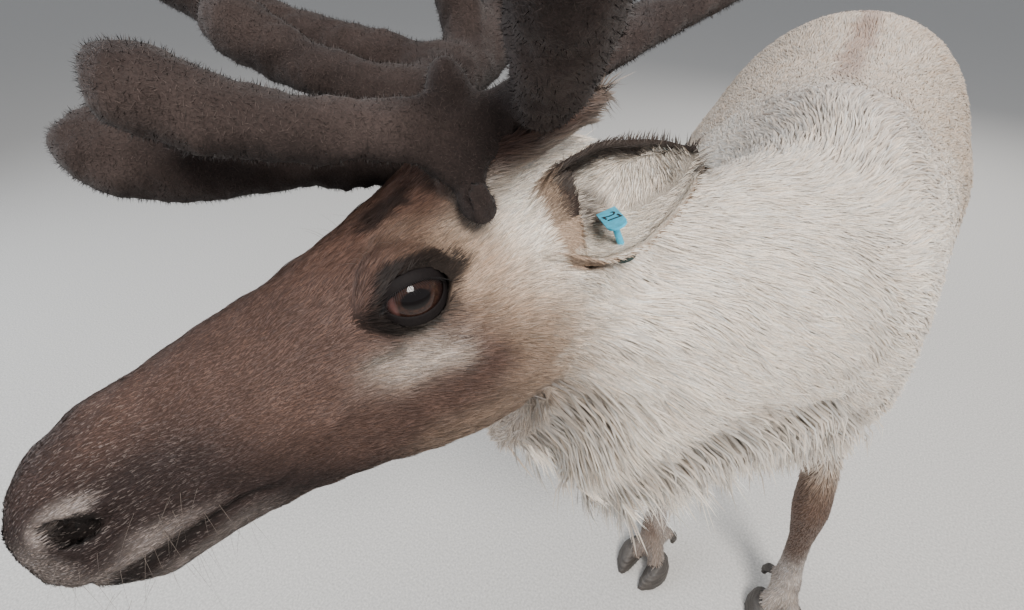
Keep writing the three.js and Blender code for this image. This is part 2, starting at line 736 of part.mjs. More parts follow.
const ANTLERS = {
  left: {
    beam: {
      points: [
        point(-188, -462, 952),
        point(-174, -464, 992),
        point(-152, -448, 1016),
        point(-136, -408, 1030),
        point(-114, -334, 1048),
        point(-84, -240, 1090),
        point(-48, -170, 1166),
        point(-20, -136, 1264),
        point(-8, -148, 1370),
        point(-24, -196, 1446),
        point(-44, -240, 1486),
      ],
      radii: [24, 25, 26, 26, 25, 24, 22, 21, 22, 26],
      rings: 22,
    },
    brow: {
      points: [
        point(-170, -464, 1008),
        point(-186, -490, 1015),
        point(-202, -518, 1020),
        point(-224, -548, 1025),
        point(-248, -574, 1034),
        point(-264, -594, 1048),
        point(-271, -606, 1068),
      ],
      radii: [20, 18, 17, 18, 21, 22],
      rings: 12,
    },
    rise: {
      points: [
        point(-146, -440, 1018),
        point(-126, -466, 1040),
        point(-108, -492, 1062),
        point(-90, -522, 1090),
        point(-62, -556, 1142),
        point(-34, -572, 1212),
        point(-20, -566, 1284),
      ],
      radii: [18, 21, 24, 25, 23, 22, 26],
      rings: 13,
    },
    rear: {
      points: [point(-20, -136, 1280), point(-4, -96, 1322), point(4, -74, 1376)],
      radii: [18, 17, 19],
      rings: 6,
    },
    stub: {
      points: [point(-174, -466, 1016), point(-183, -475, 1036), point(-188, -478, 1056)],
      radii: [13, 12, 12],
      rings: 5,
    },
    bud: {
      points: [point(-172, -474, 988), point(-158, -494, 990), point(-149, -506, 991)],
      radii: [13, 13, 12],
      rings: 5,
    },
  },
  right: {
    beam: {
      points: [
        point(-244, -432, 944),
        point(-256, -424, 986),
        point(-264, -398, 1008),
        point(-272, -336, 1016),
        point(-284, -264, 1044),
        point(-298, -190, 1104),
        point(-312, -136, 1194),
        point(-320, -116, 1294),
        point(-310, -146, 1388),
        point(-292, -198, 1450),
      ],
      radii: [24, 25, 25, 24, 23, 22, 21, 22, 26],
      rings: 21,
    },
    brow: {
      points: [
        point(-256, -432, 992),
        point(-270, -480, 985),
        point(-298, -514, 984),
        point(-328, -549, 988),
        point(-356, -578, 996),
        point(-377, -602, 1014),
      ],
      radii: [21, 19, 20, 23, 26, 27],
      rings: 12,
    },
    bez: {
      points: [
        point(-262, -408, 1008),
        point(-284, -442, 1018),
        point(-308, -457, 1026),
        point(-342, -470, 1041),
        point(-366, -480, 1057),
        point(-378, -486, 1072),
      ],
      radii: [20, 18, 18, 19, 21, 22],
      rings: 11,
    },
    tine: {
      points: [
        point(-268, -366, 1014),
        point(-322, -400, 1030),
        point(-386, -428, 1046),
        point(-450, -448, 1068),
        point(-496, -462, 1096),
        point(-512, -470, 1128),
      ],
      radii: [20, 19, 18, 19, 21, 24],
      rings: 12,
    },
    rise: {
      points: [
        point(-276, -322, 1024),
        point(-284, -330, 1058),
        point(-304, -322, 1112),
        point(-334, -320, 1180),
        point(-350, -336, 1250),
      ],
      radii: [21, 20, 20, 22, 25],
      rings: 10,
    },
    rear: {
      points: [point(-320, -118, 1300), point(-334, -82, 1340), point(-342, -62, 1390)],
      radii: [18, 17, 19],
      rings: 6,
    },
  },
};
const PEDICLE_CUT = 64;

// The tag: a plate with a rounded end inside the left ear, its stud through the ear and a disc behind.
const TAG_LENGTH = 30;
const TAG_WIDTH = 14;
const TAG_THICKNESS = 1.8;
const TAG_DISC_RADIUS = 8;
const TAG_DISC_THICKNESS = 2.6;
const TAG_DISC_CLEARANCE = 2;
const TAG_STUD_RADIUS = 2.5;
const TAG_ALONG = 0.5;
const TAG_TURN = 60;
const TAG_DEPTH = 13;

function tagFrame(ear) {
  const { centre, radius } = ear.sectionAt(TAG_ALONG);
  const turn = radians(TAG_TURN);
  const outward = ear.mouth.clone().multiplyScalar(-Math.cos(turn)).addScaledVector(ear.across, Math.sin(turn));
  const round = new THREE.Vector3().crossVectors(outward, ear.axis).normalize();
  const basis = new THREE.Matrix4().makeBasis(ear.axis, round, outward);
  return { matrix: basis.setPosition(centre), radius };
}

function makeStud(ear, grown) {
  const { matrix, radius } = tagFrame(ear);
  const length = radius + 1.5 - TAG_DEPTH;
  const stud = new THREE.CylinderGeometry(TAG_STUD_RADIUS + grown, TAG_STUD_RADIUS + grown, length + 2 * grown, 12);
  stud.rotateX(Math.PI / 2).translate(0, 0, TAG_DEPTH + length / 2).applyMatrix4(matrix);
  return solidFromGeometry(stud);
}

function makeTagPlate(ear) {
  const half = TAG_WIDTH / 2;
  const outline = new THREE.Shape();
  outline.moveTo(-half, -TAG_LENGTH / 2);
  outline.lineTo(half, -TAG_LENGTH / 2);
  outline.lineTo(half, TAG_LENGTH / 2 - half);
  outline.absarc(0, TAG_LENGTH / 2 - half, half, 0, Math.PI, false);
  outline.lineTo(-half, -TAG_LENGTH / 2);
  const plate = new THREE.ExtrudeGeometry(outline, {
    depth: TAG_THICKNESS,
    bevelEnabled: false,
    curveSegments: 8,
  });
  plate.translate(0, 0, TAG_DEPTH - TAG_THICKNESS / 2).applyMatrix4(tagFrame(ear).matrix);
  return solidFromGeometry(plate).add(makeStud(ear, 0));
}

function makeTagDisc(ear, grown = 0) {
  const { matrix, radius } = tagFrame(ear);
  const size = TAG_DISC_RADIUS + grown;
  const disc = new THREE.CylinderGeometry(size, size, TAG_DISC_THICKNESS + 2 * grown, 18);
  disc.rotateX(Math.PI / 2).translate(0, 0, radius + 2 + TAG_DISC_THICKNESS).applyMatrix4(matrix);
  return solidFromGeometry(disc);
}

// The tail hangs close to the rump.
const TAIL_POINTS = [point(0, 930, 850), point(0, 985, 826), point(0, 1006, 770), point(0, 1000, 700)];
const TAIL_ROWS = [
  [0, 28, 30, 30, 2, 0, 0],
  [0.4, 34, 24, 26, 2, 0, 0],
  [0.75, 38, 20, 20, 2, 0, 0],
  [1, 12, 7, 7, 2, 0, 0],
];
const TAIL_CUT = point(0, 968, 838);
const TAIL_CUT_NORMAL = point(0, 0.9, -0.45);

const NECK_CUT = point(-34, -206, 800);
const NECK_CUT_NORMAL = point(-0.24, -0.94, 0.22);

// Finishes.
const finish = (color, roughness, metalness = 0) =>
  new THREE.MeshStandardMaterial({ color, roughness, metalness });
const COAT_WHITE = finish(0xd9d4cc, 0.9);
const COAT_BROWN = finish(0x6b5145, 0.85);
const COAT_LEG = finish(0x8b7567, 0.9);
const VELVET = finish(0x4a3c38, 0.95);
const CLAW_HORN = finish(0x4b4643, 0.55);
const EYE_DARK = finish(0x120c0a, 0.1);
const TAG_BLUE = finish(0x35a9cf, 0.4);
const TAG_GREEN = finish(0x33403c, 0.5);

const reindeer = new THREE.Group();

function addNode(name, solid, material) {
  const mesh = solid.getMesh();
  const corners = new Float32Array(mesh.numVert * 3);
  for (let i = 0; i < mesh.numVert; i++) {
    corners.set(mesh.vertProperties.subarray(i * mesh.numProp, i * mesh.numProp + 3), i * 3);
  }
  const geometry = new THREE.BufferGeometry();
  geometry.setAttribute("position", new THREE.BufferAttribute(corners, 3));
  geometry.setIndex(new THREE.BufferAttribute(mesh.triVerts, 1));
  geometry.computeVertexNormals();
  const node = new THREE.Mesh(geometry, material);
  node.name = name;
  reindeer.add(node);
}

// Feet: claws and dewclaws are whole, and the limbs are cut clear of them.
const feet = LIMBS.flatMap((limb) =>
  [
    ["outer", limb.side],
    ["inner", -limb.side],
  ].flatMap(([which, way]) => [
    { name: `claw_${limb.name}_${which}`, solid: makeClaw(limb, way, 0), clear: makeClaw(limb, way, GAP) },
    {
      name: `dewclaw_${limb.name}_${which}`,
      solid: makeDewclaw(limb, way, 0),
      clear: makeDewclaw(limb, way, GAP),
    },
  ]),
);
feet.forEach(({ name, solid }) => addNode(name, solid, CLAW_HORN));

// Flesh from the neck cut backwards: trunk and limbs, parted by a level cut.
const tail = sweep(TAIL_POINTS, LEFT, TAIL_ROWS, 8, 10);
const grownTail = sweep(
  TAIL_POINTS,
  LEFT,
  TAIL_ROWS.map(([share, wide, above, below, ...rest]) => [share, wide + GAP, above + GAP, below + GAP, ...rest]),
  8,
  10,
);
const tailRoom = grownTail.trimByPlane(
  TAIL_CUT_NORMAL.clone().normalize().toArray(),
  TAIL_CUT_NORMAL.clone().normalize().dot(TAIL_CUT) - GAP / 2,
);
const limbs = union(LIMBS.flatMap((limb) => [makeLimb(limb), ...makeDigits(limb)])).subtract(
  union(feet.map(({ clear }) => clear)),
);
const neckAndMane = makeNeck().add(makeMane());
const body = union([makeTrunk(), neckAndMane, limbs, before(tail, TAIL_CUT, TAIL_CUT_NORMAL)]);
const levelCut = point(0, 0, LEG_CUT_HEIGHT);
const hindBody = before(body, NECK_CUT, NECK_CUT_NORMAL);
addNode("torso", largest(beyond(hindBody, levelCut, UP).subtract(tailRoom)), COAT_WHITE);
addNode("tail", beyond(tail, TAIL_CUT, TAIL_CUT_NORMAL), COAT_WHITE);
const legPieces = before(hindBody, levelCut, UP).decompose();
LIMBS.forEach((limb) => {
  const foot = limb.joints[limb.joints.length - 1];
  const near = legPieces
    .map((solid) => ({ solid, box: solid.boundingBox() }))
    .filter(({ box }) => box.min[0] < foot.x && box.max[0] > foot.x && box.min[2] < foot.z + 60)
    .filter(({ box }) => box.min[1] < foot.y && box.max[1] > foot.y - 30);
  addNode(limb.name, near.reduce((a, b) => (b.solid.volume() > a.solid.volume() ? b : a)).solid, COAT_LEG);
});

// Neck, between the cut at the shoulders and the cut behind the jaw.
const headCut = onHead(0, HEAD_CUT, 0);
const headAhead = headDirection(0, 1, HEAD_CUT_SLANT).normalize();
const ears = { left: makeEar(EARS.left), right: makeEar(EARS.right) };
const earRoom = union([...Object.values(ears).map(makeEarRoom), makeTagDisc(ears.left, TAG_DISC_CLEARANCE)]);
const frontBody = beyond(body, NECK_CUT, NECK_CUT_NORMAL).add(makeHeadForm());
addNode("neck", largest(before(frontBody, headCut, headAhead).subtract(earRoom)), COAT_WHITE);

// Head with lids, nostrils, mouth and pedicles.
const pedicleCut = onHead(0, 0, PEDICLE_CUT);
const headUp = headDirection(0, 0, 1);
const pedicles = Object.values(ANTLERS).map(({ beam }) => before(makeBranch(beam), pedicleCut, headUp));
const skull = union([makeHeadForm(), makeLid(1), makeLid(-1), ...pedicles]);
const hollows = union([
  makeEye(1, GAP),
  makeEye(-1, GAP),
  makeAlmond(1),
  makeAlmond(-1),
  makeNostril(1),
  makeNostril(-1),
  makeMouthGroove(),
]);
addNode("head", largest(beyond(skull.subtract(hollows), headCut, headAhead)), COAT_BROWN);
addNode("eye_left", makeEye(1, 0), EYE_DARK);
addNode("eye_right", makeEye(-1, 0), EYE_DARK);

// Ears, and the tag in the left one.
const headRoom = makeHeadForm(2 * GAP);
Object.entries(ears).forEach(([side, { whole }]) => {
  const outer = whole.subtract(headRoom);
  const pierced = side === "left" ? outer.subtract(makeStud(ears.left, GAP)) : outer;
  addNode(`ear_${side}`, largest(pierced), COAT_BROWN);
});
addNode("tag_plate", makeTagPlate(ears.left), TAG_BLUE);
addNode("tag_disc", makeTagDisc(ears.left), TAG_GREEN);

// Antlers, parted at their forks: each branch is cut clear of those that were made before it.
Object.entries(ANTLERS).forEach(([side, branches]) => {
  let made = null;
  Object.entries(branches).forEach(([name, branch]) => {
    const whole = makeBranch(branch);
    const solid = made === null ? beyond(whole, pedicleCut, headUp) : whole.subtract(made);
    const grown = makeBranch(branch, GAP);
    addNode(`antler_${side}_${name}`, largest(solid), VELVET);
    made = made === null ? grown : made.add(grown);
  });
});

// The model stands on the ground with the middle of its box over the origin.
const box = new THREE.Box3().setFromObject(reindeer);
reindeer.position.set(-(box.min.x + box.max.x) / 2, -(box.min.y + box.max.y) / 2, -box.min.z);

export default reindeer;
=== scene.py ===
"""A life-size reindeer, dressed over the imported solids: skin, coat, velvet, hooves, eyes and tag."""
import logging
import math
from dataclasses import dataclass, field
from enum import Enum
from typing import Any, Sequence

import bpy
import numpy as np
from mathutils import Matrix, Vector


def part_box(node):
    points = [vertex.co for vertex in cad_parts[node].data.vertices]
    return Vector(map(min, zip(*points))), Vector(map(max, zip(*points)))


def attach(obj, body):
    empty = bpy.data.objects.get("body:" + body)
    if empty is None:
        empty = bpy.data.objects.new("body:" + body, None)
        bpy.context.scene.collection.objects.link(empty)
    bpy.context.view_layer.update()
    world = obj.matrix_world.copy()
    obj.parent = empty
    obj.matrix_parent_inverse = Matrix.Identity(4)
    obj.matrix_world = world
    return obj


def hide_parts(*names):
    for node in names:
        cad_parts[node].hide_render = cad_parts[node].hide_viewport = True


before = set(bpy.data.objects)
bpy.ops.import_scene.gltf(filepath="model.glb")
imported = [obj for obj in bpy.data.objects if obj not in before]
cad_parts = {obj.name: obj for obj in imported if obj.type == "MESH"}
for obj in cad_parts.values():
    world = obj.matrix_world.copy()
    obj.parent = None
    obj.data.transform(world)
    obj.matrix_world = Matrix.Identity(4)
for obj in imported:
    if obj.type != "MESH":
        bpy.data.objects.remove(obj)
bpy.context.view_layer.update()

LOG = logging.getLogger("reindeer")
BODY = "root"
FLESH = ("torso", "neck", "tail", "foreleg_left", "foreleg_right", "hindleg_left", "hindleg_right")
HEAD_FLESH = ("head", "ear_left", "ear_right")
MM = 0.001

Array = np.ndarray


def smooth(value: Array, start: float, end: float) -> Array:
    """Ease from 0 at start to 1 at end, which may be the smaller of the two."""
    share = np.clip((value - start) / (end - start), 0.0, 1.0)
    return share * share * (3.0 - 2.0 * share)


def blend(first: Array, second: Array, mask: Array) -> Array:
    """Mix two rows of vectors or colours by a mask."""
    return first + (np.asarray(second) - first) * mask[:, None]


def hill(*terms: tuple[Array, float]) -> Array:
    """Give 1 where every term is 0, falling softly to 0 away from it.

    Args:
        terms: Pairs of a distance and the width over which it counts.

    Returns:
        The height of the hill at each place.
    """
    return np.exp(-sum((value / width) ** 2 for value, width in terms))


def unit(rows: Array) -> Array:
    """Scale each row to a length of 1."""
    return rows / np.maximum(np.linalg.norm(rows, axis=1, keepdims=True), 1e-9)


def ripples(points: Array, scale: float, seed: int) -> Array:
    """Give soft, repeatable unevenness between about -1 and 1.

    Args:
        points: Places, one row each, in metres.
        scale: The size of one patch, in metres.
        seed: Picks the pattern.

    Returns:
        One value for each place.
    """
    draw = np.random.default_rng(seed)
    total = np.zeros(len(points))
    for _ in range(7):
        way = draw.normal(size=3)
        way *= draw.uniform(0.6, 1.7) * math.tau / (scale * np.linalg.norm(way))
        total += np.sin(points @ way + draw.uniform(0, math.tau))
    return total / 3.2


@dataclass(frozen=True)
class Tones:
    """Colours of the coat, as linear red, green and blue."""

    face: tuple = (0.080, 0.050, 0.041)
    brow: tuple = (0.098, 0.053, 0.038)
    muzzle_dark: tuple = (0.022, 0.016, 0.0155)
    nose_grey: tuple = (0.30, 0.262, 0.245)
    black: tuple = (0.010, 0.008, 0.0075)
    frosted: tuple = (0.078, 0.068, 0.063)
    fawn: tuple = (0.37, 0.275, 0.205)
    cream: tuple = (0.70, 0.635, 0.555)
    white: tuple = (0.80, 0.765, 0.72)
    beige: tuple = (0.46, 0.365, 0.28)
    rump: tuple = (0.34, 0.245, 0.175)
    stripe: tuple = (0.22, 0.115, 0.072)
    ticking: tuple = (0.25, 0.20, 0.165)
    leg: tuple = (0.135, 0.088, 0.066)
    leg_grey: tuple = (0.36, 0.31, 0.27)


class Region(Enum):
    """Parts of the coat that are sampled and drawn in their own way."""

    HEAD = "head"
    EARS = "ears"
    NECK = "neck"
    BODY = "body"
    LEGS = "legs"
    MANE = "mane"


@dataclass(frozen=True)
class HeadPlace:
    """Where the head is held, from the part's own sizes, and the way between its frame and the scene's."""

    place: tuple = (-0.222, -0.508, 0.912)
    turns: tuple = (15.0, -18.0, -22.0)
    eye_out: float = 0.052
    eye_up: float = 0.006
    eye_radius: float = 0.022
    nostril: tuple = (0.202, -0.009)
    mouth_up: float = -0.052

    @property
    def spin(self) -> Array:
        """Give the head's turn as a matrix."""
        nod, tilt, turn = (math.radians(angle) for angle in self.turns)
        spin = Matrix.Rotation(turn, 3, "Z") @ Matrix.Rotation(nod, 3, "X") @ Matrix.Rotation(tilt, 3, "Y")
        return np.array(spin)

    @property
    def shift(self) -> Array:
        """Give the move from the body's own frame to the scene's."""
        low, high = (np.array(corner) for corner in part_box("eye_left"))
        eye = self.spin @ np.array((self.eye_out, 0.0, self.eye_up)) + np.array(self.place)
        return (low + high) / 2 - eye

    def local(self, points: Array) -> Array:
        """Give places as out to the left, ahead of the eyes and up."""
        moved = (points - self.shift - np.array(self.place)) @ self.spin
        return moved * np.array((1.0, -1.0, 1.0))

    def world(self, out: float, ahead: float, up: float) -> Array:
        """Give the scene's place of one on the head."""
        return self.spin @ np.array((out, -ahead, up)) + np.array(self.place) + self.shift

    def way(self, out: float, ahead: float, up: float) -> Array:
        """Give the scene's direction of one on the head."""
        turned = self.spin @ np.array((out, -ahead, up))
        return turned / np.linalg.norm(turned)


@dataclass(frozen=True)
class EarPlace:
    """The root and directions of one ear, in the head's frame."""

    root: tuple
    heading: tuple
    opening: tuple
    length: float = 0.126
    thickness: float = 0.005
    rows: tuple = (
        (0.0, 0.020, 150.0), (0.15, 0.026, 140.0), (0.35, 0.037, 106.0), (0.6, 0.039, 88.0),
        (0.85, 0.026, 78.0), (0.96, 0.013, 74.0), (1.0, 0.005, 72.0),
    )

    def section(self, share: Array) -> tuple[Array, Array]:
        """Give the radius and the half arc, in radians, at a share of the length."""
        shares, radii, arcs = zip(*self.rows)
        fine = np.linspace(0, 1, 101)
        ease = np.convolve(np.pad(np.interp(fine, shares, radii), 6, mode="edge"), np.ones(13) / 13, "valid")
        return np.interp(share, fine, ease), np.radians(np.interp(share, shares, arcs))

    def centre(self, share: Array, head: HeadPlace) -> Array:
        """Give the centres of the sections at shares of the length."""
        start, axis, mouth, _ = self.axes(head)
        bend = -0.010 * np.sin(np.clip(share, 0, 1) * math.pi) + 0.006 * share
        return start + axis * (share * self.length)[:, None] + mouth * bend[:, None]

    def locate(self, points: Array, head: HeadPlace) -> tuple[Array, Array, Array, Array]:
        """Give each place's share of the length, angle round the cup, distance and the cup's radius."""
        start, axis, mouth, across = self.axes(head)
        share = (points - start) @ axis / self.length
        spoke = points - self.centre(share, head)
        angle = np.arctan2(spoke @ across, -(spoke @ mouth))
        distance = np.hypot(spoke @ across, spoke @ mouth)
        return share, angle * np.sign(self.root[0]), distance, self.section(share)[0]

    def surface(self, head: HeadPlace, steps: int = 56, around: int = 44) -> "Surface":
        """Make the cup as a smooth, closed surface a little inside the solid."""
        _, _, mouth, across = self.axes(head)
        share = np.linspace(0.0, 0.995, steps)
        radius, arc = self.section(share)
        radius = radius - 0.0007
        filled = np.clip(1 - share / 0.24, 0, 1)
        inner = radius - np.minimum(self.thickness - 0.0012, radius * 0.5)
        inner = inner + (0.0015 - inner) * filled
        angles = np.linspace(1, -1, around)
        rings = []
        for distance, sign, less in ((radius, -1.0, 0.0), (inner, 1.0, math.radians(5.0))):
            turn = sign * angles[None, :] * (arc - less)[:, None]
            wave = 1 + 0.012 * np.sin(7 * turn + 9 * share[:, None])
            reach = (distance[:, None] * wave)[..., None]
            rings.append(-mouth * np.cos(turn)[..., None] * reach + across * np.sin(turn)[..., None] * reach)
        grid = np.concatenate(rings, axis=1) + self.centre(share, head)[:, None, :]
        sides = 2 * around
        row, column = np.meshgrid(np.arange(steps - 1), np.arange(sides), indexing="ij")
        after = (column + 1) % sides
        here, above = row * sides, (row + 1) * sides
        quads = np.stack([here + column, here + after, above + after, above + column], axis=-1).reshape(-1, 4)
        last = (steps - 1) * sides
        ends = range(around - 1)
        cap = np.array([(last + i, last + i + 1, last + sides - 2 - i, last + sides - 1 - i) for i in ends])
        made = Surface(grid.reshape(-1, 3), np.concatenate([quads, cap]))
        middle = self.centre(np.array([0.5]), head)[0]
        back = np.argmin((made.points - middle) @ mouth)
        if made.normals()[back] @ mouth > 0:
            made.quads = made.quads[:, ::-1]
        return made

    def axes(self, head: HeadPlace) -> tuple[Array, Array, Array, Array]:
        """Give the root, the way to the tip, the way it opens and the way across."""
        start = head.world(*self.root)
        axis = head.way(*self.heading)
        mouth = head.way(*self.opening)
        mouth = mouth - axis * (mouth @ axis)
        mouth /= np.linalg.norm(mouth)
        return start, axis, mouth, np.cross(axis, mouth)


HEAD = HeadPlace()
EARS = (
    EarPlace((0.050, -0.080, -0.008), (0.42, -0.9, 0.03), (0.76, 0.48, 0.42)),
    EarPlace((-0.050, -0.080, -0.008), (-0.6, -0.8, 0.12), (-0.66, 0.34, 0.6)),
)


def make_mesh(name: str, points: Array, faces: Array, smooth_faces: bool = True) -> bpy.types.Object:
    """Make an object from rows of places and rows of corners of equal count."""
    mesh = bpy.data.meshes.new(name)
    sides = faces.shape[1]
    mesh.vertices.add(len(points))
    mesh.vertices.foreach_set("co", np.ascontiguousarray(points, dtype=np.float32).ravel())
    mesh.loops.add(faces.size)
    mesh.loops.foreach_set("vertex_index", np.ascontiguousarray(faces, dtype=np.int32).ravel())
    mesh.polygons.add(len(faces))
    mesh.polygons.foreach_set("loop_start", np.arange(0, faces.size, sides, dtype=np.int32))
    mesh.polygons.foreach_set("use_smooth", np.full(len(faces), smooth_faces))
    mesh.update(calc_edges=True)
    mesh.validate()
    made = bpy.data.objects.new(name, mesh)
    bpy.context.scene.collection.objects.link(made)
    return made


def node_mesh(names: Sequence[str]) -> tuple[Array, Array]:
    """Join the solids of some nodes into rows of places and of triangles."""
    points, faces, count = [], [], 0
    for name in names:
        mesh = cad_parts[name].data
        mesh.calc_loop_triangles()
        rows = np.empty(len(mesh.vertices) * 3, dtype=np.float32)
        mesh.vertices.foreach_get("co", rows)
        corners = np.empty(len(mesh.loop_triangles) * 3, dtype=np.int32)
        mesh.loop_triangles.foreach_get("vertices", corners)
        points.append(rows.reshape(-1, 3).astype(float))
        faces.append(corners.reshape(-1, 3) + count)
        count += len(mesh.vertices)
    return np.concatenate(points), np.concatenate(faces)


def remeshed(names: Sequence[str], voxel: float) -> tuple[Array, Array]:
    """Fuse nodes into one even surface.

    Args:
        names: The nodes.
        voxel: The size of its faces, in metres.

    Returns:
        Rows of places and rows of four corners.
    """
    source = make_mesh("fusing", *node_mesh(names))
    step = source.modifiers.new("fuse", "REMESH")
    step.mode = "VOXEL"
    step.voxel_size = voxel
    evaluated = source.evaluated_get(bpy.context.evaluated_depsgraph_get())
    mesh = evaluated.to_mesh()
    rows = np.empty(len(mesh.vertices) * 3, dtype=np.float32)
    mesh.vertices.foreach_get("co", rows)
    corners = np.empty(len(mesh.loops), dtype=np.int32)
    mesh.loops.foreach_get("vertex_index", corners)
    evaluated.to_mesh_clear()
    data = source.data
    bpy.data.objects.remove(source)
    bpy.data.meshes.remove(data)
    return rows.reshape(-1, 3).astype(float), corners.reshape(-1, 4)


def face_areas(corners: Array) -> Array:
    """Give the area of four-cornered faces from their corners' places."""
    across = np.cross(corners[:, 2] - corners[:, 0], corners[:, 3] - corners[:, 1])
    return 0.5 * np.linalg.norm(across, axis=1)


def places_on(square: Array, draw: np.random.Generator) -> Array:
    """Draw one place on each four-cornered face."""
    u, v = draw.random((2, len(square), 1))
    return (
        square[:, 0] * (1 - u) * (1 - v)
        + square[:, 1] * u * (1 - v)
        + square[:, 2] * u * v
        + square[:, 3] * (1 - u) * v
    )


class Surface:
    """A surface of four-cornered faces that can be smoothed and moved."""

    def __init__(self, points: Array, quads: Array) -> None:
        """Keep the rows and the pairs of neighbours."""
        self.points = points
        self.quads = quads
        pairs = np.concatenate([quads[:, (i, (i + 1) % 4)] for i in range(4)])
        self.pairs = np.unique(np.sort(pairs, axis=1), axis=0)

    def averaged(self, values: Array) -> Array:
        """Give the mean of each corner's neighbours."""
        first, second = self.pairs.T
        size = len(self.points)
        count = np.bincount(first, minlength=size) + np.bincount(second, minlength=size)
        columns = []
        for column in values.T:
            total = np.bincount(first, column[second], size) + np.bincount(second, column[first], size)
            columns.append(total / np.maximum(count, 1))
        return np.stack(columns, axis=1)

    def relax(self, rounds: int, weight: Array) -> None:
        """Smooth the surface without shrinking it much, by a weight at each corner."""
        for _ in range(rounds):
            for push in (0.6, -0.62):
                step = self.averaged(self.points) - self.points
                self.points = self.points + step * (push * weight)[:, None]

    def fill(self, rounds: int, weight: Array) -> None:
        """Fill creases: move each corner outwards to its neighbours' mean, but never inwards."""
        for turn in range(rounds):
            if turn % 8 == 0:
                normals = self.normals()
            step = self.averaged(self.points) - self.points
            rise = np.maximum(np.einsum("ij,ij->i", step, normals), 0.0)
            self.points = self.points + normals * (rise * weight)[:, None]

    def round_off(self, rounds: int, share: Array | float) -> None:
        """Round the surface off by moving corners to their neighbours' mean."""
        share = np.broadcast_to(share, len(self.points))[:, None]
        for _ in range(rounds):
            self.points = self.points + (self.averaged(self.points) - self.points) * share

    def normals(self) -> Array:
        """Give the outward direction at each corner."""
        a, b, c, d = (self.points[self.quads[:, i]] for i in range(4))
        faces = np.cross(c - a, d - b)
        total = np.zeros_like(self.points)
        for i in range(4):
            for axis in range(3):
                total[:, axis] += np.bincount(self.quads[:, i], faces[:, axis], len(self.points))
        return unit(total)

    def keep(self, mask: Array) -> None:
        """Keep only the faces whose corners are all in the mask."""
        quads = self.quads[mask[self.quads].all(axis=1)]
        used = np.unique(quads)
        renumber = np.zeros(len(self.points), dtype=int)
        renumber[used] = np.arange(len(used))
        self.__init__(self.points[used], renumber[quads])


